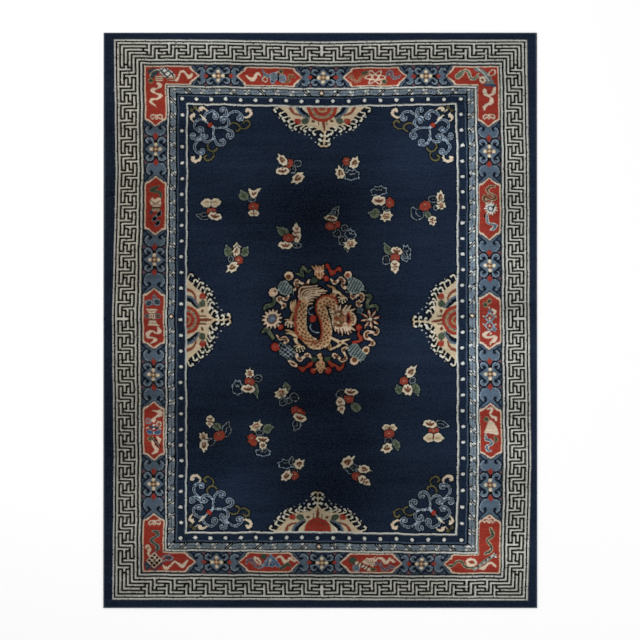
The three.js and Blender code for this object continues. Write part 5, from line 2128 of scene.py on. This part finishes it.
foundation = {
    "cellsAcross": 60,
    "cellsAlong": 80,
    "top": 0.0088,
    "swells": 0.0003,
    # step in from the outline and height, from the floor up round the side cord
    "sideSection": ((0.0030, 0.0), (0.0008, 0.0012), (0.0, 0.0030), (0.0006, 0.0052), (0.0032, 0.0074)),
}


def foundationPiece(material):
    # cotton base with the side cords rolled round its edge, closed all round
    nx = foundation["cellsAcross"]
    ny = foundation["cellsAlong"]
    section = foundation["sideSection"]
    edge = [(x, -1.0) for x in np.linspace(-1, 1, nx, endpoint=False)]
    edge += [(1.0, y) for y in np.linspace(-1, 1, ny, endpoint=False)]
    edge += [(x, 1.0) for x in np.linspace(1, -1, nx, endpoint=False)]
    edge += [(-1.0, y) for y in np.linspace(1, -1, ny, endpoint=False)]
    points = []
    faces = []

    def addPoint(u, v, stepIn, height):
        width = rug["width"] - rug["headNarrower"] * (v + 1) / 2
        points.append((u * (width / 2 - stepIn), v * (rug["length"] / 2 - stepIn), height))
        return len(points) - 1

    levels = [[addPoint(u, v, stepIn, height) for u, v in edge] for stepIn, height in section]
    for low, high in zip(levels[:-1], levels[1:]):
        for k in range(len(edge)):
            after = (k + 1) % len(edge)
            faces.append((low[k], low[after], high[after], high[k]))
    under = (levels[0], 0.0, section[0][0], False)
    over = (levels[-1], foundation["top"], section[-1][0], True)
    for level, height, inset, upward in (under, over):
        onEdge = {edge[k]: level[k] for k in range(len(edge))}
        grid = {}
        for i, u in enumerate(np.linspace(-1, 1, nx + 1)):
            for j, v in enumerate(np.linspace(-1, 1, ny + 1)):
                if i in (0, nx) or j in (0, ny):
                    grid[i, j] = onEdge[min(onEdge, key=lambda e: abs(e[0] - u) + abs(e[1] - v))]
                else:
                    swell = float(swellAt(u * rug["width"] / 2, v * rug["length"] / 2)) if upward else 0.0
                    grid[i, j] = addPoint(u, v, inset, height + foundation["swells"] * swell)
        for i in range(nx):
            for j in range(ny):
                face = (grid[i, j], grid[i + 1, j], grid[i + 1, j + 1], grid[i, j + 1])
                faces.append(face if upward else face[::-1])
    mesh = bpy.data.meshes.new("foundation")
    mesh.from_pydata(points, [], faces)
    mesh.polygons.foreach_set("use_smooth", np.ones(len(faces), bool))
    mesh.materials.append(material)
    return onStage("foundation", mesh)


base = foundationPiece(backMaterial)
for piece in pilePieces + [base]:
    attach(piece, "root")
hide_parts("rug")

view = {
    "lens": 100.0,
    "sensor": 36.0,
    "frameWidth": 4.0665,  # metres of floor across the picture at the height of the pile
    "aim": (-0.0017, 0.0022),
}


def addCamera():
    camera = onStage("camera", bpy.data.cameras.new("camera"))
    camera.data.lens = view["lens"]
    camera.data.sensor_width = view["sensor"]
    camera.data.sensor_fit = "HORIZONTAL"
    distance = view["frameWidth"] * view["lens"] / view["sensor"]
    camera.location = (view["aim"][0], view["aim"][1], rug["pileTop"] + distance)
    camera.data.clip_end = 100.0
    bpy.context.scene.camera = camera


studio = {
    "floorColour": (0.86, 0.86, 0.86, 1),
    "floorSize": 24.0,
    "skyStrength": 0.82,
    "softboxes": (((-3.2, 3.4, 6.0), 4.5, 210.0), ((4.2, -2.6, 6.5), 5.0, 110.0)),  # place, size, watts
}


def plainFloor():
    look = {
        "Base Color": studio["floorColour"],
        "Roughness": 0.9,
        "Specular IOR Level": 0.1,
    }
    mesh = bpy.data.meshes.new("floor")
    half = studio["floorSize"] / 2
    corners = [(-half, -half, 0), (half, -half, 0), (half, half, 0), (-half, half, 0)]
    mesh.from_pydata(corners, [], [(0, 1, 2, 3)])
    mesh.materials.append(freshMaterial("pale floor", look)[0])
    onStage("floor", mesh)


def softLight():
    world = bpy.data.worlds.new("studio")
    world.use_nodes = True
    sky = world.node_tree.nodes["Background"].inputs
    sky["Color"].default_value = (1, 1, 1, 1)
    sky["Strength"].default_value = studio["skyStrength"]
    bpy.context.scene.world = world
    for k, (place, size, watts) in enumerate(studio["softboxes"]):
        data = bpy.data.lights.new("softbox_%d" % k, "AREA")
        data.size = size
        data.energy = watts
        light = onStage("softbox_%d" % k, data)
        light.location = place
        x, y, z = place
        light.rotation_euler = (math.atan2(math.hypot(x, y), z), 0, math.atan2(x, -y))


print("setting the camera and lights")
addCamera()
plainFloor()
softLight()
bpy.context.scene.view_settings.view_transform = "Standard"
